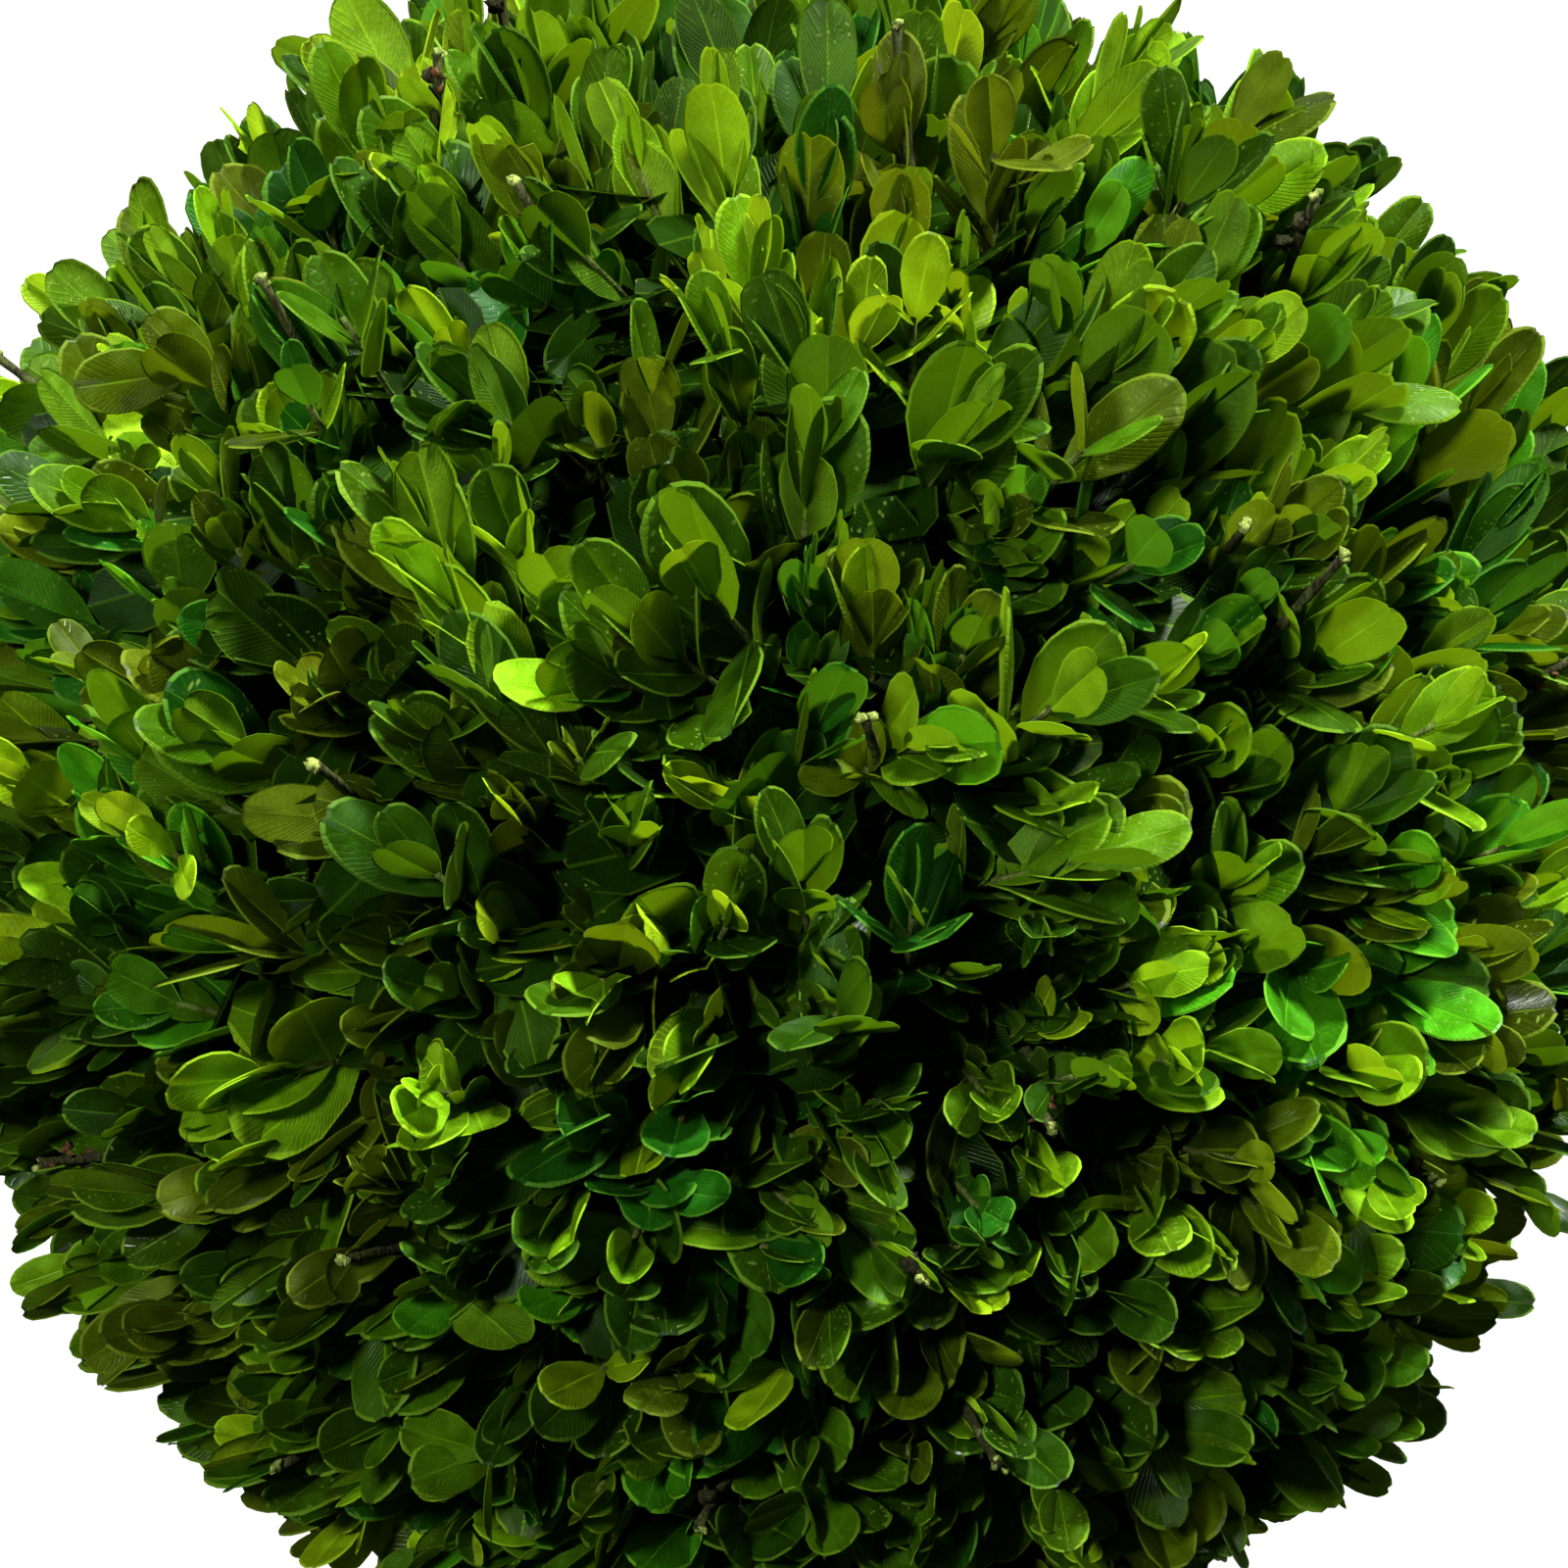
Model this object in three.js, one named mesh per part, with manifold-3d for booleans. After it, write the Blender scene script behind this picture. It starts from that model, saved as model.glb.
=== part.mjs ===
// A clipped box ball in a plain clay pot: a short trunk rises from the potting soil into a hollow crown,
// six boughs fork inside it, and seven masses of twigs and leaves close round them to make the ball.
// Millimetres, +Z up. The origin is the middle of the pot's flat underside.

import * as THREE from 'three';
import { mergeVertices } from 'three/addons/utils/BufferGeometryUtils.js';
import Module from 'manifold-3d';

const wasm = await Module();
wasm.setup();

// Driving dimensions of the ball
const ballRadius = 175;          // out to the furthest leaf tips
const ballClearOfSoil = 8;
const growthLift = 42;           // shoots fan out from a point this far below the ball's middle
const growthShift = 8;           // and this far to its right
const coreRadius = 146;          // the twiggy part that the shoots stand out of
const hollowRadius = 100;        // the bare inside of the crown
const seat = 0.3;                // gap between two pieces that touch
const sliver = 0.05;             // detail finer than this is cleared after joining

// Driving dimensions of the pot
const potHeight = 160;
const potFootRadius = 60;
const potTopRadius = 79;
const potWall = 7;
const potFloor = 10;
const collarHeight = 26;
const collarProud = 5;
const potEdge = 1.5;             // bevel on its edges
const soilBelowRim = 13;
const soilDish = 3;              // how much lower the soil lies at the pot's wall than at the trunk
const latheSides = 40;

// Driving dimensions of the limbs
const trunkFootRadius = 15;      // over the root flare
const trunkRadius = 10;
const trunkTipRadius = 8;
const trunkFlareHeight = 16;
const trunkLean = 5;             // sideways drift of its tip
const boughRadius = 6;
const boughTipRadius = 4;
const sideBoughCount = 5;
const lowestFork = 0.70;         // where side boughs leave the trunk, as a share of its length
const forkStep = 0.055;
const boughRunOut = 30;          // a side bough runs outwards this far before it bends up
const boughRunUp = 15;
const straightEnd = 22;          // the last stretch of a bough points straight at its mass
const stemLength = 12;           // the stem of a mass shows this much inside the hollow
const stemRooted = 15;           // and runs on this far into the core

// Driving dimensions of the shoots
const shootCount = 160;
const shootRadius = 2.6;
const shootSunk = 8;             // how deep a shoot is rooted in the core
const leafLength = 34;
const leafWidth = 22;
const leafThickness = 1.4;
const leafFold = 2.2;            // how far the leaf's edges stand above its midrib
const leafBroadestAt = 0.6;      // along its length
const leastLeaf = 0.6;           // a leaf is never cut below this share of its full length
const stemShareOfRoom = 0.7;     // a shoot's stem rises this far from the core towards the outline

// Leaves stand in opposite pairs, each pair turned a quarter from the last. The upper pair makes the outline.
// Each pair lists the angles it may splay at, in the order they are tried.
const leafPairs = [
  { up: 0.08, splays: [58, 66, 74, 44, 30], tipBelowOutline: 6 },
  { up: 0.30, splays: [48, 56, 64, 34, 20], tipBelowOutline: 0.3 },
];

// Where the crown is divided, as angles from straight up about the growth centre
const topMassEdge = THREE.MathUtils.degToRad(38);
const bottomMassEdge = THREE.MathUtils.degToRad(125);
const massGap = THREE.MathUtils.degToRad(0.25);
const leafToMassEdge = 0.6;      // leaves stay this far inside their own mass's space

// Heights that follow from them
const soilTop = potHeight - soilBelowRim;
const ballCentre = new THREE.Vector3(0, 0, soilTop + ballClearOfSoil + ballRadius);
const growthCentre = new THREE.Vector3(growthShift, 0, ballCentre.z - growthLift);
const trunkTop = growthCentre.z - 4;
const sideTurn = (2 * Math.PI) / sideBoughCount;

const colours = {
  pot: { color: 0xb5653c, roughness: 0.85 },
  soil: { color: 0x2e2118, roughness: 1 },
  bark: { color: 0x6d6250, roughness: 0.9 },
  leaves: { color: 0x3f7a16, roughness: 0.45 },
};

// A repeatable stream of numbers from 0 to 1
function makeRandom(seed) {
  let state = seed;
  return () => {
    state = (state * 1664525 + 1013904223) % 4294967296;
    return state / 4294967296;
  };
}

// A closed geometry as a solid that can be joined and cut
function toSolid(geometry) {
  const bare = geometry.clone();
  bare.deleteAttribute('normal');
  bare.deleteAttribute('uv');
  const merged = mergeVertices(bare, 1e-4);
  return new wasm.Manifold(new wasm.Mesh({
    numProp: 3,
    vertProperties: new Float32Array(merged.getAttribute('position').array),
    triVerts: new Uint32Array(merged.index.array),
  }));
}

function toGeometry(solid) {
  const { numProp, vertProperties, triVerts } = solid.getMesh();
  const points = new Float32Array((vertProperties.length / numProp) * 3);
  for (let i = 0; i < points.length / 3; i += 1) {
    points.set(vertProperties.subarray(i * numProp, i * numProp + 3), i * 3);
  }
  const geometry = new THREE.BufferGeometry();
  geometry.setAttribute('position', new THREE.BufferAttribute(points, 3));
  geometry.setIndex(new THREE.BufferAttribute(new Uint32Array(triVerts), 1));
  geometry.computeVertexNormals();
  return geometry;
}

// The outer skin of the biggest body: drops loose scraps and fills hollows that joining has sealed
function biggestBody(solid) {
  const bodies = solid.decompose();
  return bodies.reduce((best, body) => (body.volume() > best.volume() ? body : best));
}

function movePoints(geometry, place) {
  const points = geometry.getAttribute('position');
  const point = new THREE.Vector3();
  for (let i = 0; i < points.count; i += 1) {
    point.copy(place(point.fromBufferAttribute(points, i)));
    points.setXYZ(i, point.x, point.y, point.z);
  }
  return geometry;
}

function makeMesh(name, geometry, finish) {
  const material = new THREE.MeshStandardMaterial({ metalness: 0, ...finish });
  const mesh = new THREE.Mesh(geometry, material);
  mesh.name = name;
  return mesh;
}

// A round tapering limb along a curve, with flat ends; grow thickens and lengthens it all over
function limbGeometry(curve, radiusAt, { sides = 10, steps = 8, grow = 0 } = {}) {
  const level = new THREE.Vector3(0, 1, 0);
  return movePoints(new THREE.CylinderGeometry(1, 1, 1, sides, steps), (point) => {
    const share = THREE.MathUtils.clamp(point.y + 0.5, 0, 1);
    const along = curve.getTangentAt(share);
    const side = new THREE.Vector3().crossVectors(level, along).normalize();
    const other = new THREE.Vector3().crossVectors(along, side);
    const radius = radiusAt(share) + grow;
    const pushOut = share === 0 ? -grow : share === 1 ? grow : 0;
    return curve.getPointAt(share)
      .addScaledVector(side, point.x * radius)
      .addScaledVector(other, -point.z * radius)
      .addScaledVector(along, pushOut);
  });
}

function curveThrough(...points) {
  return new THREE.CatmullRomCurve3(points);
}

// Pot and soil

function potInnerRadius(height) {
  const share = (height - potFloor) / (potHeight - potFloor);
  return THREE.MathUtils.lerp(potFootRadius - potWall + 1, potTopRadius - potWall + collarProud, share);
}

function makePot() {
  const collarBottom = potHeight - collarHeight;
  const collarRadius = potTopRadius + collarProud;
  const wallUnderCollar = THREE.MathUtils.lerp(potFootRadius, potTopRadius, collarBottom / potHeight);
  const profile = [
    [0, 0],
    [potFootRadius - potEdge, 0],
    [potFootRadius, potEdge],
    [wallUnderCollar, collarBottom - potEdge],
    [collarRadius - potEdge, collarBottom],
    [collarRadius, collarBottom + potEdge],
    [collarRadius + 1, potHeight - potEdge],
    [collarRadius - 0.5, potHeight],
    [potInnerRadius(potHeight) + potEdge, potHeight],
    [potInnerRadius(potHeight), potHeight - potEdge],
    [potInnerRadius(potFloor), potFloor],
    [0, potFloor],
  ].map(([x, y]) => new THREE.Vector2(x, y));
  const geometry = new THREE.LatheGeometry(profile, latheSides);
  geometry.rotateX(Math.PI / 2);
  return makeMesh('pot', geometry, colours.pot);
}

function makeSoil() {
  const bottom = potFloor + seat;
  const edgeTop = soilTop - soilDish;
  const profile = [
    [0, bottom],
    [potInnerRadius(bottom) - seat * 2, bottom],
    [potInnerRadius(edgeTop) - seat * 2, edgeTop],
    [potInnerRadius(edgeTop) * 0.6, soilTop - soilDish * 0.3],
    [trunkFootRadius * 1.4, soilTop],
    [0, soilTop],
  ].map(([x, y]) => new THREE.Vector2(x, y));
  const geometry = new THREE.LatheGeometry(profile, latheSides);
  geometry.rotateX(Math.PI / 2);
  return makeMesh('soil', geometry, colours.soil);
}

// Trunk and boughs

const trunkCurve = curveThrough(
  new THREE.Vector3(0, 0, soilTop + seat),
  new THREE.Vector3(0, 0, soilTop + trunkFlareHeight),
  new THREE.Vector3(-trunkLean * 0.4, trunkLean * 0.2, THREE.MathUtils.lerp(soilTop, trunkTop, 0.4)),
  new THREE.Vector3(trunkLean * 0.3, trunkLean * 0.3, THREE.MathUtils.lerp(soilTop, trunkTop, 0.75)),
  new THREE.Vector3(trunkLean, 0, trunkTop),
);

function trunkRadiusAt(share) {
  const height = share * (trunkTop - soilTop);
  const flare = Math.max(0, 1 - height / trunkFlareHeight) ** 2;
  return THREE.MathUtils.lerp(trunkRadius, trunkTipRadius, share) + flare * (trunkFootRadius - trunkRadius);
}

const trunkLook = { sides: 12, steps: 12 };
const trunkKeepClear = toSolid(limbGeometry(trunkCurve, trunkRadiusAt, { ...trunkLook, grow: seat }));

function makeTrunk() {
  return makeMesh('trunk', limbGeometry(trunkCurve, trunkRadiusAt, trunkLook), colours.bark);
}

// A direction from its azimuth and its angle from straight up
function directionOf(azimuth, polar) {
  const level = Math.sin(polar);
  return new THREE.Vector3(level * Math.cos(azimuth), level * Math.sin(azimuth), Math.cos(polar));
}

// How far from the growth centre a ray meets a sphere about the ball's middle
function reach(direction, radius) {
  const offset = growthCentre.clone().sub(ballCentre);
  const along = offset.dot(direction);
  return -along + Math.sqrt(along * along + radius * radius - offset.lengthSq());
}

// The point where a bough hands over to the stem of its mass, a little inside the hollow
function handover(direction) {
  return growthCentre.clone().addScaledVector(direction, reach(direction, hollowRadius) - stemLength);
}

const boughRadiusAt = (share) => THREE.MathUtils.lerp(boughRadius, boughTipRadius, share);

// A side bough leaves the trunk at its own height, so that no two share a fork
function sideBoughStart(index) {
  return trunkCurve.getPointAt(lowestFork + forkStep * ((index * 2) % sideBoughCount));
}

function makeSideBough(index, mass) {
  const start = sideBoughStart(index);
  const end = handover(mass.middle).addScaledVector(mass.middle, -seat);
  const outward = new THREE.Vector3(mass.middle.x, mass.middle.y, 0).normalize();
  const elbow = start.clone().addScaledVector(outward, boughRunOut).add(new THREE.Vector3(0, 0, boughRunUp));
  const nearEnd = end.clone().addScaledVector(mass.middle, -straightEnd);
  const limb = toSolid(limbGeometry(curveThrough(start, elbow, nearEnd, end), boughRadiusAt));
  const seated = biggestBody(limb.subtract(trunkKeepClear));
  return makeMesh(`bough_side_${index + 1}`, toGeometry(seated), colours.bark);
}

// The leader carries on from the trunk's tip
function makeLeader(mass) {
  const start = trunkCurve.getPointAt(0.96);
  const low = trunkCurve.getPointAt(1).addScaledVector(trunkCurve.getTangentAt(1), 12);
  const end = handover(mass.middle).addScaledVector(mass.middle, -seat);
  const bend = low.clone().lerp(end, 0.5).add(new THREE.Vector3(-4, 5, 0));
  const nearEnd = end.clone().addScaledVector(mass.middle, -straightEnd);
  const radiusAt = (share) => THREE.MathUtils.lerp(trunkTipRadius - 0.5, boughTipRadius, share);
  const limb = toSolid(limbGeometry(curveThrough(start, low, bend, nearEnd, end), radiusAt));
  return makeMesh('bough_leader', toGeometry(biggestBody(limb.subtract(trunkKeepClear))), colours.bark);
}

// Masses of foliage. Each has its own space: a range of azimuth and of angle from straight up.

function makeMasses() {
  const sideMiddle = (topMassEdge + bottomMassEdge) / 2;
  const sides = Array.from({ length: sideBoughCount }, (_, index) => {
    const azimuth = (index + 0.5) * sideTurn - Math.PI / 2;
    return {
      name: `foliage_side_${index + 1}`,
      from: topMassEdge,
      to: bottomMassEdge,
      azimuth,
      halfTurn: sideTurn / 2,
      middle: directionOf(azimuth, sideMiddle),
    };
  });
  const top = { name: 'foliage_top', from: 0, to: topMassEdge, middle: directionOf(0, 0) };
  const bottom = { name: 'foliage_bottom', from: bottomMassEdge, to: Math.PI, middle: null };
  return { sides, top, bottom };
}

function turnFrom(mass, local) {
  const turn = Math.atan2(local.y, local.x) - mass.azimuth;
  return Math.abs(Math.atan2(Math.sin(turn), Math.cos(turn)));
}

// True where a point is inside a mass's space by at least the margin
function insideSpace(mass, point, margin) {
  const local = point.clone().sub(growthCentre);
  const distance = local.length();
  const polar = Math.acos(local.z / distance);
  if (mass.from > 0 && distance * Math.sin(polar - mass.from) < margin) return false;
  if (mass.to < Math.PI && distance * Math.sin(mass.to - polar) < margin) return false;
  if (mass.halfTurn === undefined) return true;
  const acrossEdge = mass.halfTurn - turnFrom(mass, local);
  return acrossEdge > 0 && Math.hypot(local.x, local.y) * Math.sin(acrossEdge) > margin;
}

// True where a point is clear of the pot's rim, the soil and the trunk
function clearOfOthers(point) {
  const trunkShare = THREE.MathUtils.clamp((point.z - soilTop) / (trunkTop - soilTop), 0, 1);
  const trunkAxis = trunkCurve.getPointAt(trunkShare);
  const fromTrunk = Math.hypot(point.x - trunkAxis.x, point.y - trunkAxis.y);
  const overPot = Math.hypot(point.x, point.y) < potTopRadius + collarProud + 4;
  const overMouth = Math.hypot(point.x, point.y) < potInnerRadius(potHeight) - 4;
  const floor = overMouth ? soilTop + 3 : potHeight + 3;
  return fromTrunk > trunkFootRadius && !(overPot && point.z < floor);
}

// The core starts as a shell between radius 0.5 and 1, and this takes it to its place in the crown
function toCrown(point) {
  const share = point.length() * 2 - 1;
  const direction = point.clone().normalize();
  const distance = THREE.MathUtils.lerp(reach(direction, hollowRadius), reach(direction, coreRadius), share);
  return growthCentre.clone().addScaledVector(direction, distance);
}

function sideCore(mass) {
  const halfTurn = mass.halfTurn - massGap;
  const polarRange = mass.to - mass.from - 2 * massGap;
  return movePoints(new THREE.BoxGeometry(1, 1, 1, 5, 5, 1), (point) => {
    const azimuth = mass.azimuth + point.x * 2 * halfTurn;
    const polar = mass.from + massGap + (0.5 - point.y) * polarRange;
    return toCrown(directionOf(azimuth, polar).multiplyScalar(0.75 + point.z * 0.5));
  });
}

// A cap's profile runs from the axis out to the cap's edge and back
function capCore(mass) {
  const steps = 4;
  const isTop = mass.from === 0;
  const pole = isTop ? 0 : Math.PI;
  const edge = isTop ? mass.to - massGap : mass.from + massGap;
  const inner = [];
  const outer = [];
  for (let i = 0; i <= steps; i += 1) {
    const polar = THREE.MathUtils.lerp(pole, edge, i / steps);
    const out = i === 0 ? 0 : Math.sin(polar);
    outer.push(new THREE.Vector2(out, Math.cos(polar)));
    inner.push(new THREE.Vector2(out * 0.5, Math.cos(polar) * 0.5));
  }
  const profile = isTop ? [...inner, ...outer.reverse()] : [...outer, ...inner.reverse()];
  const geometry = new THREE.LatheGeometry(profile, 20);
  geometry.rotateX(Math.PI / 2);
  return movePoints(geometry, toCrown);
}

// The stem that joins a mass to its bough, rooted in the mass's core
function stemGeometry(mass) {
  const start = handover(mass.middle);
  const end = start.clone().addScaledVector(mass.middle, stemLength + stemRooted);
  const radiusAt = (share) => boughTipRadius + share * 1.5;
  return limbGeometry(new THREE.LineCurve3(start, end), radiusAt, { sides: 8, steps: 1 });
}

// One leaf: a thin blade folded along its midrib, broadest past the middle
function leafGeometry(root, along, face, length) {
  const across = new THREE.Vector3().crossVectors(face, along);
  const width = leafWidth * (length / leafLength);
  return movePoints(new THREE.OctahedronGeometry(1), (point) => {
    const distance = length * (point.x > 0.5 ? 1 : point.x < -0.5 ? 0 : leafBroadestAt);
    const rise = point.z * leafThickness * 0.5 + Math.abs(point.y) * leafFold;
    return root.clone()
      .addScaledVector(along, distance)
      .addScaledVector(across, point.y * width * 0.5)
      .addScaledVector(face, rise);
  });
}

function shootStem(root, direction, length) {
  const geometry = new THREE.ConeGeometry(shootRadius, length, 3);
  geometry.translate(0, length / 2, 0);
  geometry.applyQuaternion(new THREE.Quaternion().setFromUnitVectors(new THREE.Vector3(0, 1, 0), direction));
  return geometry.translate(root.x, root.y, root.z);
}

function cornersOf(geometry) {
  const points = geometry.getAttribute('position');
  return Array.from({ length: points.count }, (_, i) => new THREE.Vector3().fromBufferAttribute(points, i));
}

function keepsToSpace(mass, geometry) {
  return cornersOf(geometry).every((point) => point.distanceTo(ballCentre) <= ballRadius
    && insideSpace(mass, point, leafToMassEdge) && clearOfOthers(point));
}

// How far a leaf can run from its root before its tip is nearer to the outline than the margin
function roomAlong(root, along, margin) {
  const offset = root.clone().sub(ballCentre);
  const rise = offset.dot(along);
  return -rise + Math.sqrt(rise * rise + (ballRadius - margin) ** 2 - offset.lengthSq());
}

// The leaf at the first turn and splay that keep it in its mass's space, or nothing
function fitLeaf(mass, node, direction, turn, pair, random) {
  const sideways = new THREE.Vector3(0, 0, 1).cross(direction).normalize();
  const fullLength = leafLength * (0.85 + 0.25 * random());
  const margin = pair.tipBelowOutline + 5 * random();
  const nudge = 0.92 + 0.16 * random();
  for (const extraTurn of [0, 0.5, -0.5, 1, -1]) {
    const side = sideways.clone().applyAxisAngle(direction, turn + extraTurn);
    const root = node.clone().addScaledVector(side, 0.1);
    for (const degrees of pair.splays) {
      const splay = THREE.MathUtils.degToRad(degrees * nudge);
      const along = direction.clone().multiplyScalar(Math.cos(splay)).addScaledVector(side, Math.sin(splay));
      const face = direction.clone().multiplyScalar(Math.sin(splay)).addScaledVector(side, -Math.cos(splay));
      const length = Math.min(fullLength, roomAlong(root, along, margin));
      const leaf = leafGeometry(root, along, face, length);
      if (length > fullLength * leastLeaf && keepsToSpace(mass, leaf)) return leaf;
    }
  }
  return null;
}

// A shoot is one stem and its pairs of leaves
function shootSolids(mass, surfacePoint, random) {
  const direction = surfacePoint.clone().sub(growthCentre).normalize();
  const toCore = reach(direction, coreRadius);
  const root = growthCentre.clone().addScaledVector(direction, toCore - shootSunk);
  const room = reach(direction, ballRadius) - toCore;
  const stem = shootStem(root, direction, shootSunk + room * stemShareOfRoom);
  if (!keepsToSpace(mass, stem)) return [];
  const solids = [toSolid(stem)];
  const firstTurn = random() * Math.PI;
  leafPairs.forEach((pair, pairIndex) => {
    const node = root.clone().addScaledVector(direction, shootSunk + pair.up * room);
    for (let half = 0; half < 2; half += 1) {
      const turn = firstTurn + pairIndex * (Math.PI / 2) + half * Math.PI + (random() - 0.5) * 0.5;
      const leaf = fitLeaf(mass, node, direction, turn, pair, random);
      if (leaf) solids.push(toSolid(leaf));
    }
  });
  return solids;
}

// Points spread evenly over the ball, each nudged a little
function surfacePoints(random) {
  const goldenTurn = Math.PI * (3 - Math.sqrt(5));
  return Array.from({ length: shootCount }, (_, i) => {
    const height = 1 - (2 * (i + 0.5)) / shootCount;
    const polar = Math.acos(height) + (random() - 0.5) * 0.05;
    return directionOf(i * goldenTurn + (random() - 0.5) * 0.05, polar)
      .multiplyScalar(ballRadius).add(ballCentre);
  });
}

function makeFoliage(mass, points, random) {
  const core = mass.halfTurn === undefined ? capCore(mass) : sideCore(mass);
  const solids = [toSolid(core)];
  if (mass.middle) solids.push(toSolid(stemGeometry(mass)));
  points
    .filter((point) => insideSpace(mass, point, 0))
    .forEach((point) => solids.push(...shootSolids(mass, point, random)));
  const joined = wasm.Manifold.union(solids);
  const foliage = mass === masses.bottom ? joined.subtract(trunkKeepClear) : joined;
  const clean = biggestBody(foliage).asOriginal().simplify(sliver);
  return makeMesh(mass.name, toGeometry(clean), colours.leaves);
}

const masses = makeMasses();
const random = makeRandom(20);
const points = surfacePoints(random);

const boxBall = new THREE.Group();
boxBall.name = 'box_topiary_ball';
boxBall.add(makePot(), makeSoil(), makeTrunk(), makeLeader(masses.top));
masses.sides.forEach((mass, index) => boxBall.add(makeSideBough(index, mass)));
for (const mass of [masses.top, ...masses.sides, masses.bottom]) {
  boxBall.add(makeFoliage(mass, points, random));
}

export default boxBall;
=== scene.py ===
import math

import bmesh
import bpy
import numpy as np
from mathutils import Matrix, Vector, noise


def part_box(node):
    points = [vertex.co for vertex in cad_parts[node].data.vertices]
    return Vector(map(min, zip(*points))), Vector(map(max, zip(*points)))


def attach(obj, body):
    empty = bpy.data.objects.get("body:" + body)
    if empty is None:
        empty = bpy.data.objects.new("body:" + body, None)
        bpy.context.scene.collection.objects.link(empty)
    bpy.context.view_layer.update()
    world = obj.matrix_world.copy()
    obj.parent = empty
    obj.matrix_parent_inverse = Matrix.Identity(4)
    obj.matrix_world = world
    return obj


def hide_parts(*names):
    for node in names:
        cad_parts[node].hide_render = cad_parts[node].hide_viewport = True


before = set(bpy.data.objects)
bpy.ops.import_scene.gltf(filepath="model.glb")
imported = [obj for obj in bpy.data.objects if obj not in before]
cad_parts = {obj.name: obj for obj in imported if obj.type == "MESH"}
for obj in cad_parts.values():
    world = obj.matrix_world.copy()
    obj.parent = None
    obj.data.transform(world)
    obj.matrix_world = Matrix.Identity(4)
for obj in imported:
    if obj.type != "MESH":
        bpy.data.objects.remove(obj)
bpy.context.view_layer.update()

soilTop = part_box("soil")[1].z
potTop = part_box("pot")[1].z
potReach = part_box("pot")[1].x
seat = 0.0003  # the gap between two pieces that touch

# The crown's sizes in metres, as the solids have them
crown = {
    "radius": 0.175,
    "clearOfSoil": 0.008,
    "growthLift": 0.042,     # shoots fan out from a point this far below the ball's middle
    "growthShift": 0.008,
    "hollowRadius": 0.100,
    "stemShown": 0.012,      # of each mass's stem, inside the hollow
    "topMassEdge": math.radians(38),
    "bottomMassEdge": math.radians(125),
    "sideBoughs": 5,
    "trunkTopDrop": 0.004,   # the trunk ends this far under the growth centre
    "trunkReach": 0.017,     # leaves and twigs keep this far from the trunk's middle
    "potWall": 0.014,
    "besidePot": 0.004,      # and this far from the pot and the soil
    "abovePot": 0.003,
    "overshoot": 0.001,      # leaves may pass the outline by this
}
ballCentre = Vector((0, 0, soilTop + crown["clearOfSoil"] + crown["radius"]))
growthCentre = ballCentre + Vector((crown["growthShift"], 0, -crown["growthLift"]))
trunkTop = growthCentre.z - crown["trunkTopDrop"]

massNodes = sorted(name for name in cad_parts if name.startswith("foliage_"))
goldenTurn = math.pi * (3 - math.sqrt(5))


def directionOf(azimuth, polar):
    level = math.sin(polar)
    return Vector((level * math.cos(azimuth), level * math.sin(azimuth), math.cos(polar)))


def reach(direction, radius):  # from the growth centre out to a sphere about the ball's middle
    offset = growthCentre - ballCentre
    along = offset.dot(direction)
    return -along + math.sqrt(along * along + radius * radius - offset.length_squared)


def pointOut(direction, radius):
    return growthCentre + direction * reach(direction, radius)


def evenDirections(count, rng, nudge):  # even points on the ball, seen from the growth centre
    found = []
    for i in range(count):
        polar = math.acos(1 - 2 * (i + 0.5) / count) + (rng.random() - 0.5) * nudge
        azimuth = i * goldenTurn + (rng.random() - 0.5) * nudge
        point = ballCentre + directionOf(azimuth, polar) * crown["radius"]
        found.append((point - growthCentre).normalized())
    return found


def squareTo(direction):  # two unit vectors across a direction
    helper = Vector((0, 0, 1)) if abs(direction.z) < 0.9 else Vector((1, 0, 0))
    side = helper.cross(direction).normalized()
    return side, direction.cross(side)


def leaned(direction, first, second):  # a direction turned by two small angles in degrees
    side, other = squareTo(direction)
    turned = direction + side * math.tan(math.radians(first)) + other * math.tan(math.radians(second))
    return turned.normalized()


def clearOfOthers(point):  # of the pot, the soil and the trunk
    out = math.hypot(point.x, point.y)
    floor = (soilTop if out < potReach - crown["potWall"] else potTop) + crown["abovePot"]
    if out < potReach + crown["besidePot"] and point.z < floor:
        return False
    return out > crown["trunkReach"] or point.z > trunkTop


def withinReach(point):
    outline = crown["radius"] + crown["overshoot"]
    return (point - ballCentre).length < outline and clearOfOthers(point)


# Helpers for material nodes


def addNode(tree, kind, inputs=None, **settings):
    node = tree.nodes.new(kind)
    for name, value in settings.items():
        setattr(node, name, value)
    for key, value in (inputs or {}).items():
        setSocket(tree, node.inputs[key], value)
    return node


def setSocket(tree, socket, value):
    if isinstance(value, bpy.types.NodeSocket):
        tree.links.new(value, socket)
    else:
        socket.default_value = value


def mathNode(tree, operation, *values):
    return addNode(tree, "ShaderNodeMath", dict(enumerate(values)), operation=operation).outputs[0]


def product(tree, found, *others):
    for other in others:
        found = mathNode(tree, "MULTIPLY", found, other)
    return found


def rangeNode(tree, value, low, high, toLow=0.0, toHigh=1.0):
    inputs = {"Value": value, "From Min": low, "From Max": high, "To Min": toLow, "To Max": toHigh}
    return addNode(tree, "ShaderNodeMapRange", inputs, interpolation_type="SMOOTHSTEP").outputs[0]


def noiseNode(tree, place, scale, detail=3.0, roughness=0.5, dimensions="3D"):
    inputs = {"Vector": place, "Scale": scale, "Detail": detail, "Roughness": roughness}
    return addNode(tree, "ShaderNodeTexNoise", inputs, noise_dimensions=dimensions).outputs[0]


def mixColour(tree, amount, first, second, blend="MIX"):
    inputs = {0: amount, 6: first, 7: second}
    return addNode(tree, "ShaderNodeMix", inputs, data_type="RGBA", blend_type=blend).outputs[2]


def objectPlace(tree):
    return addNode(tree, "ShaderNodeTexCoord").outputs["Object"]


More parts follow.
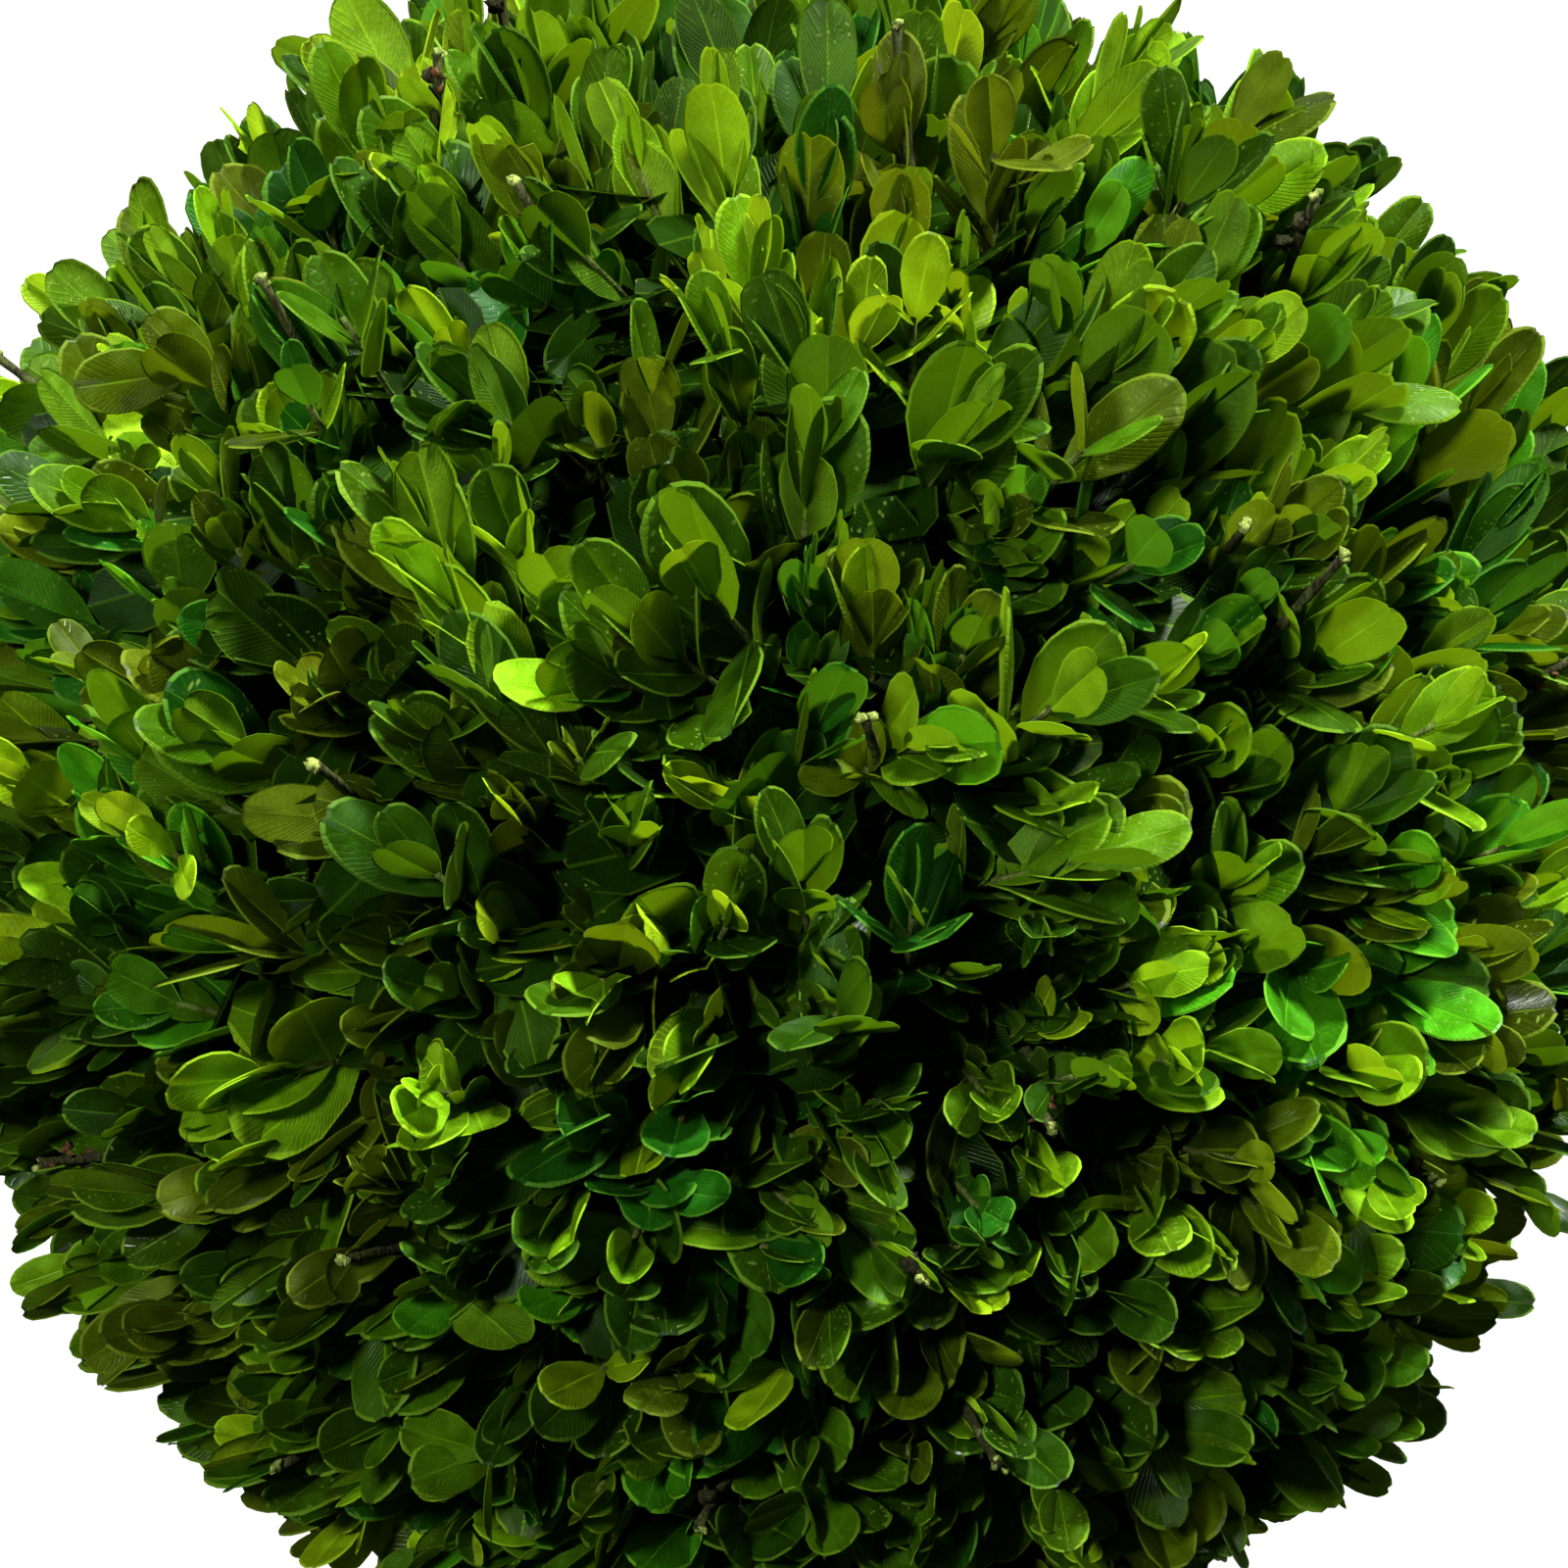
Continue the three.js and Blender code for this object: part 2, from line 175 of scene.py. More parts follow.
def bumpNode(tree, height, distance, strength=1.0):
    inputs = {"Height": height, "Distance": distance, "Strength": strength}
    return addNode(tree, "ShaderNodeBump", inputs).outputs[0]


def principledNode(tree, out, inputs):
    shader = addNode(tree, "ShaderNodeBsdfPrincipled", inputs)
    tree.links.new(shader.outputs[0], out.inputs["Surface"])


def rgba(colour):
    return (*colour, 1.0)


def newGroup(name, colours, values):  # it gives a colour, a roughness and a height
    tree = bpy.data.node_groups.new(name, "ShaderNodeTree")
    kinds = [(colours, "NodeSocketColor", rgba), (values, "NodeSocketFloat", float)]
    for inputs, kind, asSocket in kinds:
        for socketName, value in inputs.items():
            socket = tree.interface.new_socket(socketName, in_out="INPUT", socket_type=kind)
            socket.default_value = asSocket(value)
    tree.interface.new_socket("Colour", in_out="OUTPUT", socket_type="NodeSocketColor")
    for socketName in ("Roughness", "Height"):
        tree.interface.new_socket(socketName, in_out="OUTPUT", socket_type="NodeSocketFloat")
    return tree, tree.nodes.new("NodeGroupInput").outputs, tree.nodes.new("NodeGroupOutput")


def giveOut(tree, out, colour, rough, height):
    for name, found in (("Colour", colour), ("Roughness", rough), ("Height", height)):
        tree.links.new(found, out.inputs[name])


def newMaterial(name):
    material = bpy.data.materials.new(name)
    material.use_nodes = True
    tree = material.node_tree
    tree.nodes.clear()
    return material, tree, tree.nodes.new("ShaderNodeOutputMaterial")


# Leaf blade and its finish

bladePlan = {
    "halfWidth": 0.255,      # of the length, as is the margin's thickness
    "margin": 0.012,
    "marginStart": 0.95,     # where the margin begins in the columns and rows
    "widest": 0.57,          # how far along the blade it is widest
    "stalk": 0.07,           # of the half width
    # Columns run from rim to rim, and rows from the stalk past the widest place, at 0, to the tip
    "columns": [-1.0, -0.95, -0.62, -0.29, 0.0, 0.29, 0.62, 0.95, 1.0],
    "rows": [-1.0, -0.60, -0.18, 0.24, 0.62, 0.95, 1.0],
    "innerColumns": [-1.0, -0.5, 0.0, 0.5, 1.0],
    "innerRows": [-1.0, -0.5, 0.05, 0.6, 1.0],
    "oldColumns": [-1.0, 0.0, 1.0],
    "oldRows": [-1.0, -0.45, 0.35, 1.0],
}

leafFinish = {
    "veinPairs": 23.0,
    "veinSlant": 0.32,       # how far along the leaf a side vein runs by the time it meets the rim
    "bumpDepth": 0.0001,
    "specks": 16.0,          # the patterns' cells along a leaf
    "grain": 32.0,
    "blotches": 3.2,
    "patternStep": 731.0,    # moves each leaf, by its tone, to its own part of the patterns
    "ribEdge": (0.02, 0.075),   # how far out from the middle the midrib fades, and the rim begins
    "rimEdge": (0.925, 0.955),
    "specked": 0.28,         # share of leaves that have specks
    "speckStrength": 0.55,
    "speckColour": (0.22, 0.36, 0.05),
    "topVeins": 0.12,
    "underVeins": 0.22,
    "topRoughness": 0.34,
    "underRoughness": 0.56,
    "rimRoughness": 0.35,    # more than the blade's
    "gloss": 0.22,
    "translucence": 0.32,
}


def makeLeafMarks():
    plan = leafFinish
    colours = {"Blade": (0.05, 0.15, 0.02), "Rib": (0.1, 0.2, 0.03), "Rim": (0.2, 0.35, 0.05)}
    tree, given, out = newGroup("leafMarks", colours, {"Vein Strength": 0.2, "Roughness": 0.4})
    uv = addNode(tree, "ShaderNodeUVMap", uv_map="leafUV").outputs[0]
    parts = addNode(tree, "ShaderNodeSeparateXYZ", {0: uv}).outputs
    across = mathNode(tree, "ABSOLUTE", mathNode(tree, "MULTIPLY_ADD", parts[0], 2.0, -1.0))
    along = parts[1]
    # leafTone is each leaf's random tone times the painted shade of its depth in the crown
    tone = addNode(tree, "ShaderNodeAttribute", attribute_name="leafTone").outputs["Fac"]

    apart = mathNode(tree, "MULTIPLY", tone, plan["patternStep"])
    sideways = mathNode(tree, "MULTIPLY_ADD", parts[0], 2 * bladePlan["halfWidth"], apart)
    upwards = mathNode(tree, "ADD", along, apart)
    place = addNode(tree, "ShaderNodeCombineXYZ", {0: sideways, 1: upwards}).outputs[0]
    blotch = noiseNode(tree, place, plan["blotches"], 1.0, dimensions="2D")
    fine = noiseNode(tree, place, plan["grain"], 0.0, dimensions="2D")
    cloudy = rangeNode(tree, blotch, 0.3, 0.7, 0.75, 1.25)
    shade = product(tree, tone, cloudy, rangeNode(tree, fine, 0.3, 0.7, 0.90, 1.10))
    shadeColour = addNode(tree, "ShaderNodeCombineColor", {0: shade, 1: shade, 2: shade}).outputs[0]
    blade = mixColour(tree, 1.0, given["Blade"], shadeColour, "MULTIPLY")

    slanted = mathNode(tree, "MULTIPLY_ADD", across, -plan["veinSlant"], along)
    wave = mathNode(tree, "FRACT", mathNode(tree, "MULTIPLY", slanted, plan["veinPairs"]))
    ridge = mathNode(tree, "ABSOLUTE", mathNode(tree, "SUBTRACT", wave, 0.5))
    vein = rangeNode(tree, ridge, 0.03, 0.22, 1.0, 0.0)
    veinShown = mathNode(tree, "MULTIPLY", vein, given["Vein Strength"])
    rib = rangeNode(tree, across, *plan["ribEdge"], 1.0, 0.0)
    rim = rangeNode(tree, across, *plan["rimEdge"])

    cells = {"Vector": place, "Scale": plan["specks"]}
    pits = addNode(tree, "ShaderNodeTexVoronoi", cells, voronoi_dimensions="2D")
    chosen = addNode(tree, "ShaderNodeSeparateColor", {0: pits.outputs["Color"]}).outputs[0]
    speck = rangeNode(tree, pits.outputs["Distance"], 0.12, 0.28, 1.0, 0.0)
    isChosen = rangeNode(tree, chosen, 0.72, 0.80)
    isSpecked = mathNode(tree, "LESS_THAN", mathNode(tree, "FRACT", apart), plan["specked"])
    speck = product(tree, speck, isChosen, isSpecked, plan["speckStrength"])

    colour = mixColour(tree, veinShown, blade, given["Rib"])
    colour = mixColour(tree, mathNode(tree, "MULTIPLY", rib, 0.9), colour, given["Rib"])
    colour = mixColour(tree, speck, colour, rgba(plan["speckColour"]))
    # the rim's paler colour is partly the margin's own and partly a painted highlight of the light its
    # curled edge catches
    colour = mixColour(tree, mathNode(tree, "MULTIPLY", rim, 0.85), colour, given["Rim"])
    rough = mathNode(tree, "ADD", given["Roughness"], rangeNode(tree, blotch, 0.35, 0.7, -0.10, 0.14))
    rough = mathNode(tree, "MULTIPLY_ADD", rim, plan["rimRoughness"], rough)
    height = mathNode(tree, "MULTIPLY_ADD", rib, -0.7, mathNode(tree, "MULTIPLY", vein, -0.5))
    giveOut(tree, out, colour, rough, height)
    return tree


# Tints of the leaves' upper and lower faces, and the share of the sprays that each is dealt to
leafTints = {
    "leaves_emerald": [(0.008, 0.074, 0.0026), (0.034, 0.134, 0.0036), 0.10],
    "leaves_forest": [(0.015, 0.054, 0.0010), (0.043, 0.112, 0.0018), 0.20],
    "leaves_mid": [(0.034, 0.098, 0.0011), (0.077, 0.172, 0.0022), 0.20],
    "leaves_grass": [(0.060, 0.150, 0.0016), (0.120, 0.236, 0.0032), 0.15],
    "leaves_olive": [(0.048, 0.082, 0.0011), (0.096, 0.148, 0.0020), 0.15],
    "leaves_fresh": [(0.034, 0.185, 0.0030), (0.080, 0.270, 0.0050), 0.07],
    "leaves_bright": [(0.130, 0.290, 0.0030), (0.200, 0.370, 0.0050), 0.06],
    "leaves_lime": [(0.190, 0.340, 0.0030), (0.270, 0.430, 0.0060), 0.04],
    "leaves_khaki": [(0.063, 0.093, 0.0016), (0.112, 0.146, 0.0028), 0.03],
}


def makeLeafMaterial(name, top, under, marks, sheen=1.0):
    material, tree, out = newMaterial(name)
    top, under = Vector(top), Vector(under)
    isUnder = addNode(tree, "ShaderNodeNewGeometry").outputs["Backfacing"]

    def bySide(above, below):
        return addNode(tree, "ShaderNodeMix", {0: isUnder, 2: above, 3: below}).outputs[0]

    inputs = {
        "Blade": mixColour(tree, isUnder, rgba(top), rgba(under)),
        "Rib": mixColour(tree, isUnder, rgba(top * 1.7 + Vector((0.025, 0.045, 0.001))), rgba(under * 2.0)),
        # Rim: partly the margin's own paler colour, partly a painted highlight
        "Rim": rgba(under * 1.3 + Vector((0.018, 0.034, 0.001))),
        "Vein Strength": bySide(leafFinish["topVeins"], leafFinish["underVeins"]),
        "Roughness": bySide(leafFinish["topRoughness"], leafFinish["underRoughness"]),
    }
    found = addNode(tree, "ShaderNodeGroup", inputs, node_tree=marks).outputs
    blade = addNode(tree, "ShaderNodeBsdfPrincipled", {
        "Base Color": found["Colour"],
        "Roughness": found["Roughness"],
        "Normal": bumpNode(tree, found["Height"], leafFinish["bumpDepth"]),
        "Specular IOR Level": leafFinish["gloss"] * sheen,
    })
    shining = Vector((under.x * 1.55 + 0.035, under.y * 1.35 + 0.07, under.z))
    glow = addNode(tree, "ShaderNodeBsdfTranslucent", {"Color": rgba(shining)})
    both = {0: leafFinish["translucence"], 1: blade.outputs[0], 2: glow.outputs[0]}
    mixed = addNode(tree, "ShaderNodeMixShader", both)
    tree.links.new(mixed.outputs[0], out.inputs["Surface"])
    return material


# Leaf shapes, with the stalk's foot at the origin, the blade along +Y and its upper face towards +Z

# fold lifts both halves from the midrib, pillow rounds them down again, arch bends the tip down or
# up, full makes the tip blunter, and shear is how far along its length a clipped leaf is cut
shapeSizes = ["fold", "pillow", "arch", "notch", "full", "twist", "shear"]
leafShapes = [dict(zip(shapeSizes, sizes)) for sizes in [
    (0.20, 0.20, -0.04, 0.022, 0.05, 0.00),
    (0.34, 0.28, 0.05, 0.036, 0.07, 0.14),
    (0.12, 0.18, -0.12, 0.008, 0.02, -0.12),
    (0.08, 0.26, -0.18, 0.028, 0.06, 0.06),
    (0.52, 0.34, 0.02, 0.034, 0.04, -0.08),
    (0.26, 0.12, 0.14, 0.014, 0.00, 0.26),
    (0.20, 0.00, 0.10, 0.032, 0.07, -0.24),
    (0.20, 0.38, -0.06, 0.0, 0.05, 0.04, 0.62),
    (0.40, 0.34, 0.05, 0.0, 0.05, 0.10, 0.76),
]]
plainShapes = 7  # the first ones, which aren't sheared


def takeArrays(bm):  # a bmesh's points and faces, after which it is freed
    points = np.array([vert.co[:] for vert in bm.verts])
    faces = np.array([[vert.index for vert in face.verts] for face in bm.faces])
    bm.free()
    return points, faces


def bladePlace(u, v, full):  # the square grid's columns and rows, drawn into the leaf's outline
    if v <= 0:
        width = bladePlan["stalk"] + (1 - bladePlan["stalk"]) * (1 - abs(v) ** 1.7)
        return u * width * bladePlan["halfWidth"], bladePlan["widest"] * (1 + v)
    ring = max(abs(u), v)
    a, b = u / ring, v / ring
    x = ring * a * math.sqrt(1 - (0.5 - full) * b * b)
    y = ring * b * math.sqrt(1 - (0.5 - full) * a * a)
    return x * bladePlan["halfWidth"], bladePlan["widest"] + (1 - bladePlan["widest"]) * y


def makeLeafShape(shape, rows, columns, withMargin):
    bm = bmesh.new()
    bmesh.ops.create_grid(bm, x_segments=len(columns) - 1, y_segments=len(rows) - 1, size=1.0)
    uvs = []
    creases = []
    for vert in bm.verts:
        column = round((vert.co.x + 1) / 2 * (len(columns) - 1))
        row = round((vert.co.y + 1) / 2 * (len(rows) - 1))
        u, v = columns[column], rows[row]
        x, y = bladePlace(u, v, shape["full"])
        ring = max(abs(u), v)
        if u == 0 and v > 0.9:
            y -= shape["notch"]
        if "shear" in shape:  # a slanting, ragged cut
            line = shape["shear"] + 0.16 * u + 0.025 * math.sin(9 * u + 4)
            y = min(y, line + 0.03 * (y - line))
        z = abs(x) * shape["fold"] - shape["pillow"] * x * x / bladePlan["halfWidth"]
        z += shape["arch"] * (y * y - 0.3 * y)
        onMargin = withMargin and ring == 1
        if onMargin:
            z -= bladePlan["margin"]
        turn = shape["twist"] * y
        across, up = x * math.cos(turn) - z * math.sin(turn), x * math.sin(turn) + z * math.cos(turn)
        vert.co = Vector((across, y, up))
        uvs.append(((1 + math.copysign(ring, u)) / 2 if u and v > 0 else (u + 1) / 2, y))
        beside = withMargin and ring == bladePlan["marginStart"]
        creases.append(0 if onMargin else (u == 0) + 2 * beside)
    points, faces = takeArrays(bm)
    return {"points": points, "faces": faces, "uvs": np.array(uvs), "creases": np.array(creases)}


# Many small things joined into one mesh


def meshFromArrays(name, points, faces, uvs=None, tones=None, creases=None):
    mesh = bpy.data.meshes.new(name)
    sides = faces.shape[1]
    mesh.vertices.add(len(points))
    mesh.vertices.foreach_set("co", points.astype(np.float32).ravel())
    mesh.loops.add(faces.size)
    mesh.loops.foreach_set("vertex_index", faces.astype(np.int32).ravel())
    mesh.polygons.add(len(faces))
    mesh.polygons.foreach_set("loop_start", np.arange(0, faces.size, sides, dtype=np.int32))
    mesh.update(calc_edges=True)
    mesh.shade_smooth()
    if uvs is not None:
        layer = mesh.uv_layers.new(name="leafUV")
        layer.uv.foreach_set("vector", uvs[faces.ravel()].astype(np.float32).ravel())
    if tones is not None:
        # leafTone holds each leaf's random tone together with its painted depth shade
        mesh.attributes.new("leafTone", "FLOAT", "POINT").data.foreach_set("value", tones.astype(np.float32))
    if creases is not None and creases.any():
        ends = np.empty(len(mesh.edges) * 2, np.int32)
        mesh.edges.foreach_get("vertices", ends)
        ends = ends.reshape(-1, 2)
        mesh.edges.foreach_set("use_edge_sharp", (creases[ends[:, 0]] & creases[ends[:, 1]]) > 0)
    return mesh


def joinCopies(name, shapes, copies):  # each copy: its shape's number, place, scaled axes and tone
    points, faces, uvs, tones, creases = [], [], [], [], []
    start = 0
    for index, shape in enumerate(shapes):
        mine = [copy for copy in copies if copy[0] == index]
        if not mine:
            continue
        places = np.array([copy[1] for copy in mine])
        axes = np.array([copy[2] for copy in mine])
        count = len(shape["points"])
        points.append((np.einsum("pk,nkj->npj", shape["points"], axes) + places[:, None, :]).reshape(-1, 3))
        offsets = start + np.arange(len(mine))[:, None, None] * count
        faces.append((shape["faces"][None] + offsets).reshape(-1, shape["faces"].shape[1]))
        uvs.append(np.tile(shape["uvs"], (len(mine), 1)))
        creases.append(np.tile(shape["creases"], len(mine)))
        tones.append(np.repeat([copy[3] for copy in mine], count))
        start += count * len(mine)
    parts = [np.concatenate(part) for part in (points, faces, uvs, tones, creases)]
    return meshFromArrays(name, *parts)


def meshFromBmesh(name, bm):
    mesh = bpy.data.meshes.new(name)
    bm.to_mesh(mesh)
    bm.free()
    mesh.shade_smooth()
    return mesh


def addObject(name, data):
    found = bpy.data.objects.new(name, data)
    bpy.context.scene.collection.objects.link(found)
    return found


def addPiece(name, mesh, material, slot, *replaced):
    piece = addObject(name, mesh)
    mesh.materials.append(material)
    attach(piece, "root")
    if replaced:
        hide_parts(*replaced)
    return piece


# Shoots and their leaves

shootPlan = {
    "count": 1320,
    "fillers": 520,                   # smaller shoots between the others, under their tips
    "fillerDepth": (0.012, 0.026),
    "fillerSize": 0.85,
    "fillerPairs": 3,
    "pairs": 4,
    "fifthPair": 0.4,                 # share of shoots that have a fifth pair
    "sprays": 230,                    # shoots of one spray share their lean, and often their tint
    "thinned": 0.25,                  # share of shoots left out at the very top, where leaves are larger
    "tipDepth": (-0.001, 0.020),      # how far under the outline the upper leaves end
    "nodeGap": (0.0061, 0.0096),
    "splays": [8, 13, 19, 27, 36],    # degrees, for each pair in turn from the tip down
    "splaySpread": 7,
    "openness": 0.36,                 # how much more open one shoot is than another
    "astray": 0.09,                   # share of leaves that stand out at an odd angle
    "flatten": 0.55,                  # how far leaves on level shoots turn their upper faces to the sky
    "lift": 0.50,                     # how far the lower shoots turn up to the light
    "wilder": 1.0,                    # and how much less orderly their leaves are
    "lean": 9,
    "sprayLean": 9,
    "roll": 14,
    "leafLength": (0.0206, 0.0248),   # at the crown's foot and at its top
    "leafWidth": (1.10, 0.93),        # times the shape's own width
    "pairSizes": [0.82, 1.0, 1.04, 1.0, 0.92],
    "finePairs": 3,                   # pairs below these are mostly hidden and have fewer faces
    "young": 0.09,                    # share of shoots with a pair of young, bright leaves at the tip
    "paintedShadePerPair": 0.15,                  # painted shade: how much darker each pair is than the one above it, as it stands deeper in the crown
    # painted shade: the deeper filler shoots are drawn this much darker
    "fillerPaintedShade": 0.8,
    "strayTints": 0.68,               # share of shoots that differ from their spray
    "leafStrays": 0.12,               # share of leaves that differ from their shoot
    "sheared": 0.08,                  # share of the tips' leaves
    # How one shoot or leaf differs from the next
    "shootSizes": (0.86, 1.14),
    "lengthSpread": (0.78, 1.16),
    "widthSpread": (0.86, 1.14),
    "toneSpread": (0.46, 1.54),
    # painted light: the tip pair is drawn this much brighter, as the most lit
    "tipPaintedLight": 1.12,
    "turnSpread": 0.2,
    "astraySplay": (25, 60),
    "astrayRoll": 3,
    "skyward": (0.5, 1.4),
}


def dealTint(rng):
    shares = np.array([tints[-1] for tints in leafTints.values()])
    return list(leafTints)[rng.choice(len(shares), p=shares / shares.sum())]


def planShoot(rng, sprays, sprayArray, way, depth, size):
    plan = shootPlan
    spray = int(np.argmax(sprayArray @ np.array(way)))
    shared = sprays[spray]
    short, long = plan["leafLength"]
    wide, slim = plan["leafWidth"]
    length = (short + (long - short) * (1 + way.z) / 2) * shared["size"] * size
    length *= rng.uniform(*plan["shootSizes"])
    upright = (way + Vector((0, 0, plan["lift"] * max(0.0, 0.3 - way.z)))).normalized()
    isYoung = rng.random() < plan["young"]
    # painted shade for the deeper filler shoots
    depthShade = 1.0 if size == 1.0 else plan["fillerPaintedShade"]
    return {
        "axis": leaned(upright, *(rng.normal(0, plan["lean"], 2) + shared["lean"])),
        "tip": pointOut(way, crown["radius"] - depth - length * plan["pairSizes"][0] * 0.97),
        "spray": spray,
        "tint": dealTint(rng) if rng.random() < plan["strayTints"] else shared["tint"],
        "tone": shared["tone"] * rng.uniform(*plan["shootSizes"]) * depthShade,
        "tipTint": ("leaves_lime", "leaves_bright")[int(rng.integers(2))] if isYoung else None,
        "leafLength": length,
        "leafWidth": wide + (slim - wide) * (1 + way.z) / 2,
        "openness": math.exp(rng.normal(0, plan["openness"])),
        "turn": (rng.random() - 0.5) * math.pi,
        "fine": plan["finePairs"],
    }


def growShoots():
    plan = shootPlan
    rng = np.random.default_rng(11)
    sprayWays = evenDirections(plan["sprays"], rng, 0.12)
    sprayArray = np.array(sprayWays)
    sprays = []
    for way in sprayWays:
        sprays.append({
            "way": way,
            "tint": dealTint(rng),
            "lean": rng.normal(0, plan["sprayLean"], 2),
            "tone": rng.normal(1.0, 0.10),
            "size": rng.normal(1.0, 0.06),
        })
    shoots = []
    for way in evenDirections(plan["count"], rng, 0.09):
        if rng.random() > plan["thinned"] * max(0.0, way.z):
            low, high = plan["tipDepth"]
            depth = low + (high - low) * rng.random() ** 1.3 * min(1.0, max(0.25, 1.15 + way.z))
            shoots.append(planShoot(rng, sprays, sprayArray, way, depth, 1.0))
            shoots[-1]["pairs"] = plan["pairs"] + (rng.random() < plan["fifthPair"])
    for way in evenDirections(plan["fillers"], rng, 0.2):
        depth = rng.uniform(*plan["fillerDepth"])
        shoots.append(planShoot(rng, sprays, sprayArray, way, depth, plan["fillerSize"]))
        shoots[-1]["pairs"] = plan["fillerPairs"]
        shoots[-1]["fine"] = 0
    return sprays, shoots


def leafAxes(axis, side, splay, roll, length, width, skyward=0.0):
    along = axis * math.cos(splay) + side * math.sin(splay)
    face = axis * math.sin(splay) - side * math.cos(splay)
    upper = Vector((0, 0, 1)) - along * along.z
    roll += skyward * math.atan2(along.dot(face.cross(upper)), face.dot(upper))
    face = Matrix.Rotation(roll, 3, along) @ face
    across = along.cross(face)
    return along, np.array([across * width, along * length, face * length])


def growLeaves(shoots):
    plan = shootPlan
    rng = np.random.default_rng(23)
    fine = {name: [] for name in leafTints}
    inner = {name: [] for name in leafTints}
    for shoot in shoots:
        side0, side1 = squareTo(shoot["axis"])
        level = plan["flatten"] * min(1.0, max(0.0, (0.85 - shoot["axis"].z) / 0.5))
        wild = 1 + plan["wilder"] * min(1.0, max(0.0, 0.4 - shoot["axis"].z))
        depth = 0.0005
        for pair in range(shoot["pairs"]):
            node = shoot["tip"] - shoot["axis"] * depth
            depth += rng.uniform(*plan["nodeGap"])
            for half in range(2):
                turn = (shoot["turn"] + pair * math.pi / 2) * (1 - level)
                turn += half * math.pi + rng.normal(0, plan["turnSpread"])
                side = side0 * math.cos(turn) + side1 * math.sin(turn)
                splay = plan["splays"][pair] * shoot["openness"]
                splay += rng.normal(0, plan["splaySpread"]) * wild
                roll = math.radians(rng.normal(0, plan["roll"])) * wild
                if rng.random() < plan["astray"]:
                    splay += rng.uniform(*plan["astraySplay"])
                    roll *= plan["astrayRoll"]
                length = shoot["leafLength"] * plan["pairSizes"][pair]
                length *= rng.uniform(*plan["lengthSpread"])
                width = length * shoot["leafWidth"] * rng.uniform(*plan["widthSpread"])
                kind = int(rng.integers(plainShapes))
                if pair == 0 and rng.random() < plan["sheared"]:
                    kind = int(rng.integers(plainShapes, len(leafShapes)))
                tone = shoot["tone"] * rng.uniform(*plan["toneSpread"])
                # painted shade: the tip pair is drawn brightest and each lower pair darker
                tone *= plan["tipPaintedLight"] - plan["paintedShadePerPair"] * pair
                tint = dealTint(rng) if rng.random() < plan["leafStrays"] else shoot["tint"]
                if pair == 0 and shoot["tipTint"]:
                    tint = shoot["tipTint"]
                skyward = level * rng.uniform(*plan["skyward"])
                for share in (1.0, 0.6, 0.2):
                    angle = math.radians(splay * share)
                    along, axes = leafAxes(shoot["axis"], side, angle, roll, length, width, skyward)
                    if withinReach(node + along * length):
                        leaves = fine if pair < shoot["fine"] else inner
                        leaves[tint].append((kind, np.array(node), axes, tone))
                        break
        shoot["foot"] = shoot["tip"] - shoot["axis"] * depth
    return fine, inner


oldLeafPlan = {
    "count": 5200,
    "depth": (0.040, 0.068),          # under the outline
    "length": 0.024,
    "lengthSpread": (0.8, 1.3),
    "splay": (40, 88),
    "tones": (0.7, 1.2),
    # dark tints, partly the older leaves' own colour and partly painted shade deep in the crown
    "tints": [(0.008, 0.030, 0.0010), (0.020, 0.048, 0.0015)],
    "sheen": 0.3,                     # times the other leaves' gloss
}


def growOldLeaves(shape):  # dull, dark leaves deeper in, which close the crown; their darkness is partly their own and partly painted shade
    plan = oldLeafPlan
    rng = np.random.default_rng(31)
    copies = []
    for way in evenDirections(plan["count"], rng, 0.08):
        node = pointOut(way, crown["radius"] - rng.uniform(*plan["depth"]))
        side, other = squareTo(way)
        turn = rng.random() * 2 * math.pi
        length = plan["length"] * rng.uniform(*plan["lengthSpread"])
        splay = math.radians(rng.uniform(*plan["splay"]))
        outwards = side * math.cos(turn) + other * math.sin(turn)
        along, axes = leafAxes(way, outwards, splay, rng.normal(0, 0.4), length, length)
        if withinReach(node + along * length) and withinReach(node):
            copies.append((0, np.array(node), axes, rng.uniform(*plan["tones"])))
    return joinCopies("leaves_old_shaded", [shape], copies)


# Twigs

twigPlan = {
    "branches": 44,
    "branchReach": 0.118,             # at most, and less by up to the spread
    "branchSpread": 0.012,
    "branchRadii": (0.0030, 0.0021),
    "sprayReach": 0.131,
    "spraySpread": 0.006,
    "sprayRadii": (0.0019, 0.0012),
    "shootRadii": (0.0010, 0.0006),
    "cutTwigs": 60,
    "cutDepth": (0.002, 0.016),       # how far under the outline a clipped twig ends
    "cutLength": 0.040,
    "cutRadii": (0.00105, 0.00080),
    "knots": 0.22,                    # how much every other ring of a cut twig swells
    "seeded": 0.45,                   # share of the cut twigs with seed capsules
    "husked": 0.30,                   # and with the dry husks of flowers
    "huskSize": (0.0006, 0.0013, 0.0004),
    "huskCount": (7, 14),
    "huskDepth": (0.004, 0.012),      # from the twig's end
    "capsuleCount": (1, 4),
    "capsuleDepth": (0.002, 0.014),
    "capsuleSize": (0.0014, 0.0019),
    "fraySize": (0.0006, 0.0010),
}


def carriedFrames(points):  # two vectors across a path at each of its points, carried on without twist
    frames = []
    side = None
    for i in range(len(points)):
        ahead = (points[min(i + 1, len(points) - 1)] - points[max(i - 1, 0)]).normalized()
        side = squareTo(ahead)[0] if side is None else (side - ahead * side.dot(ahead)).normalized()
        frames.append((side, ahead.cross(side)))
    return frames


def makeUnitTube(sides, rings):
    bm = bmesh.new()
    bmesh.ops.create_cone(bm, cap_ends=True, segments=sides, radius1=1, radius2=1, depth=1)
    upright = [edge for edge in bm.edges if abs(edge.verts[0].co.z - edge.verts[1].co.z) > 0.5]
    bmesh.ops.subdivide_edges(bm, edges=upright, cuts=rings - 2, use_grid_fill=True)
    return bm


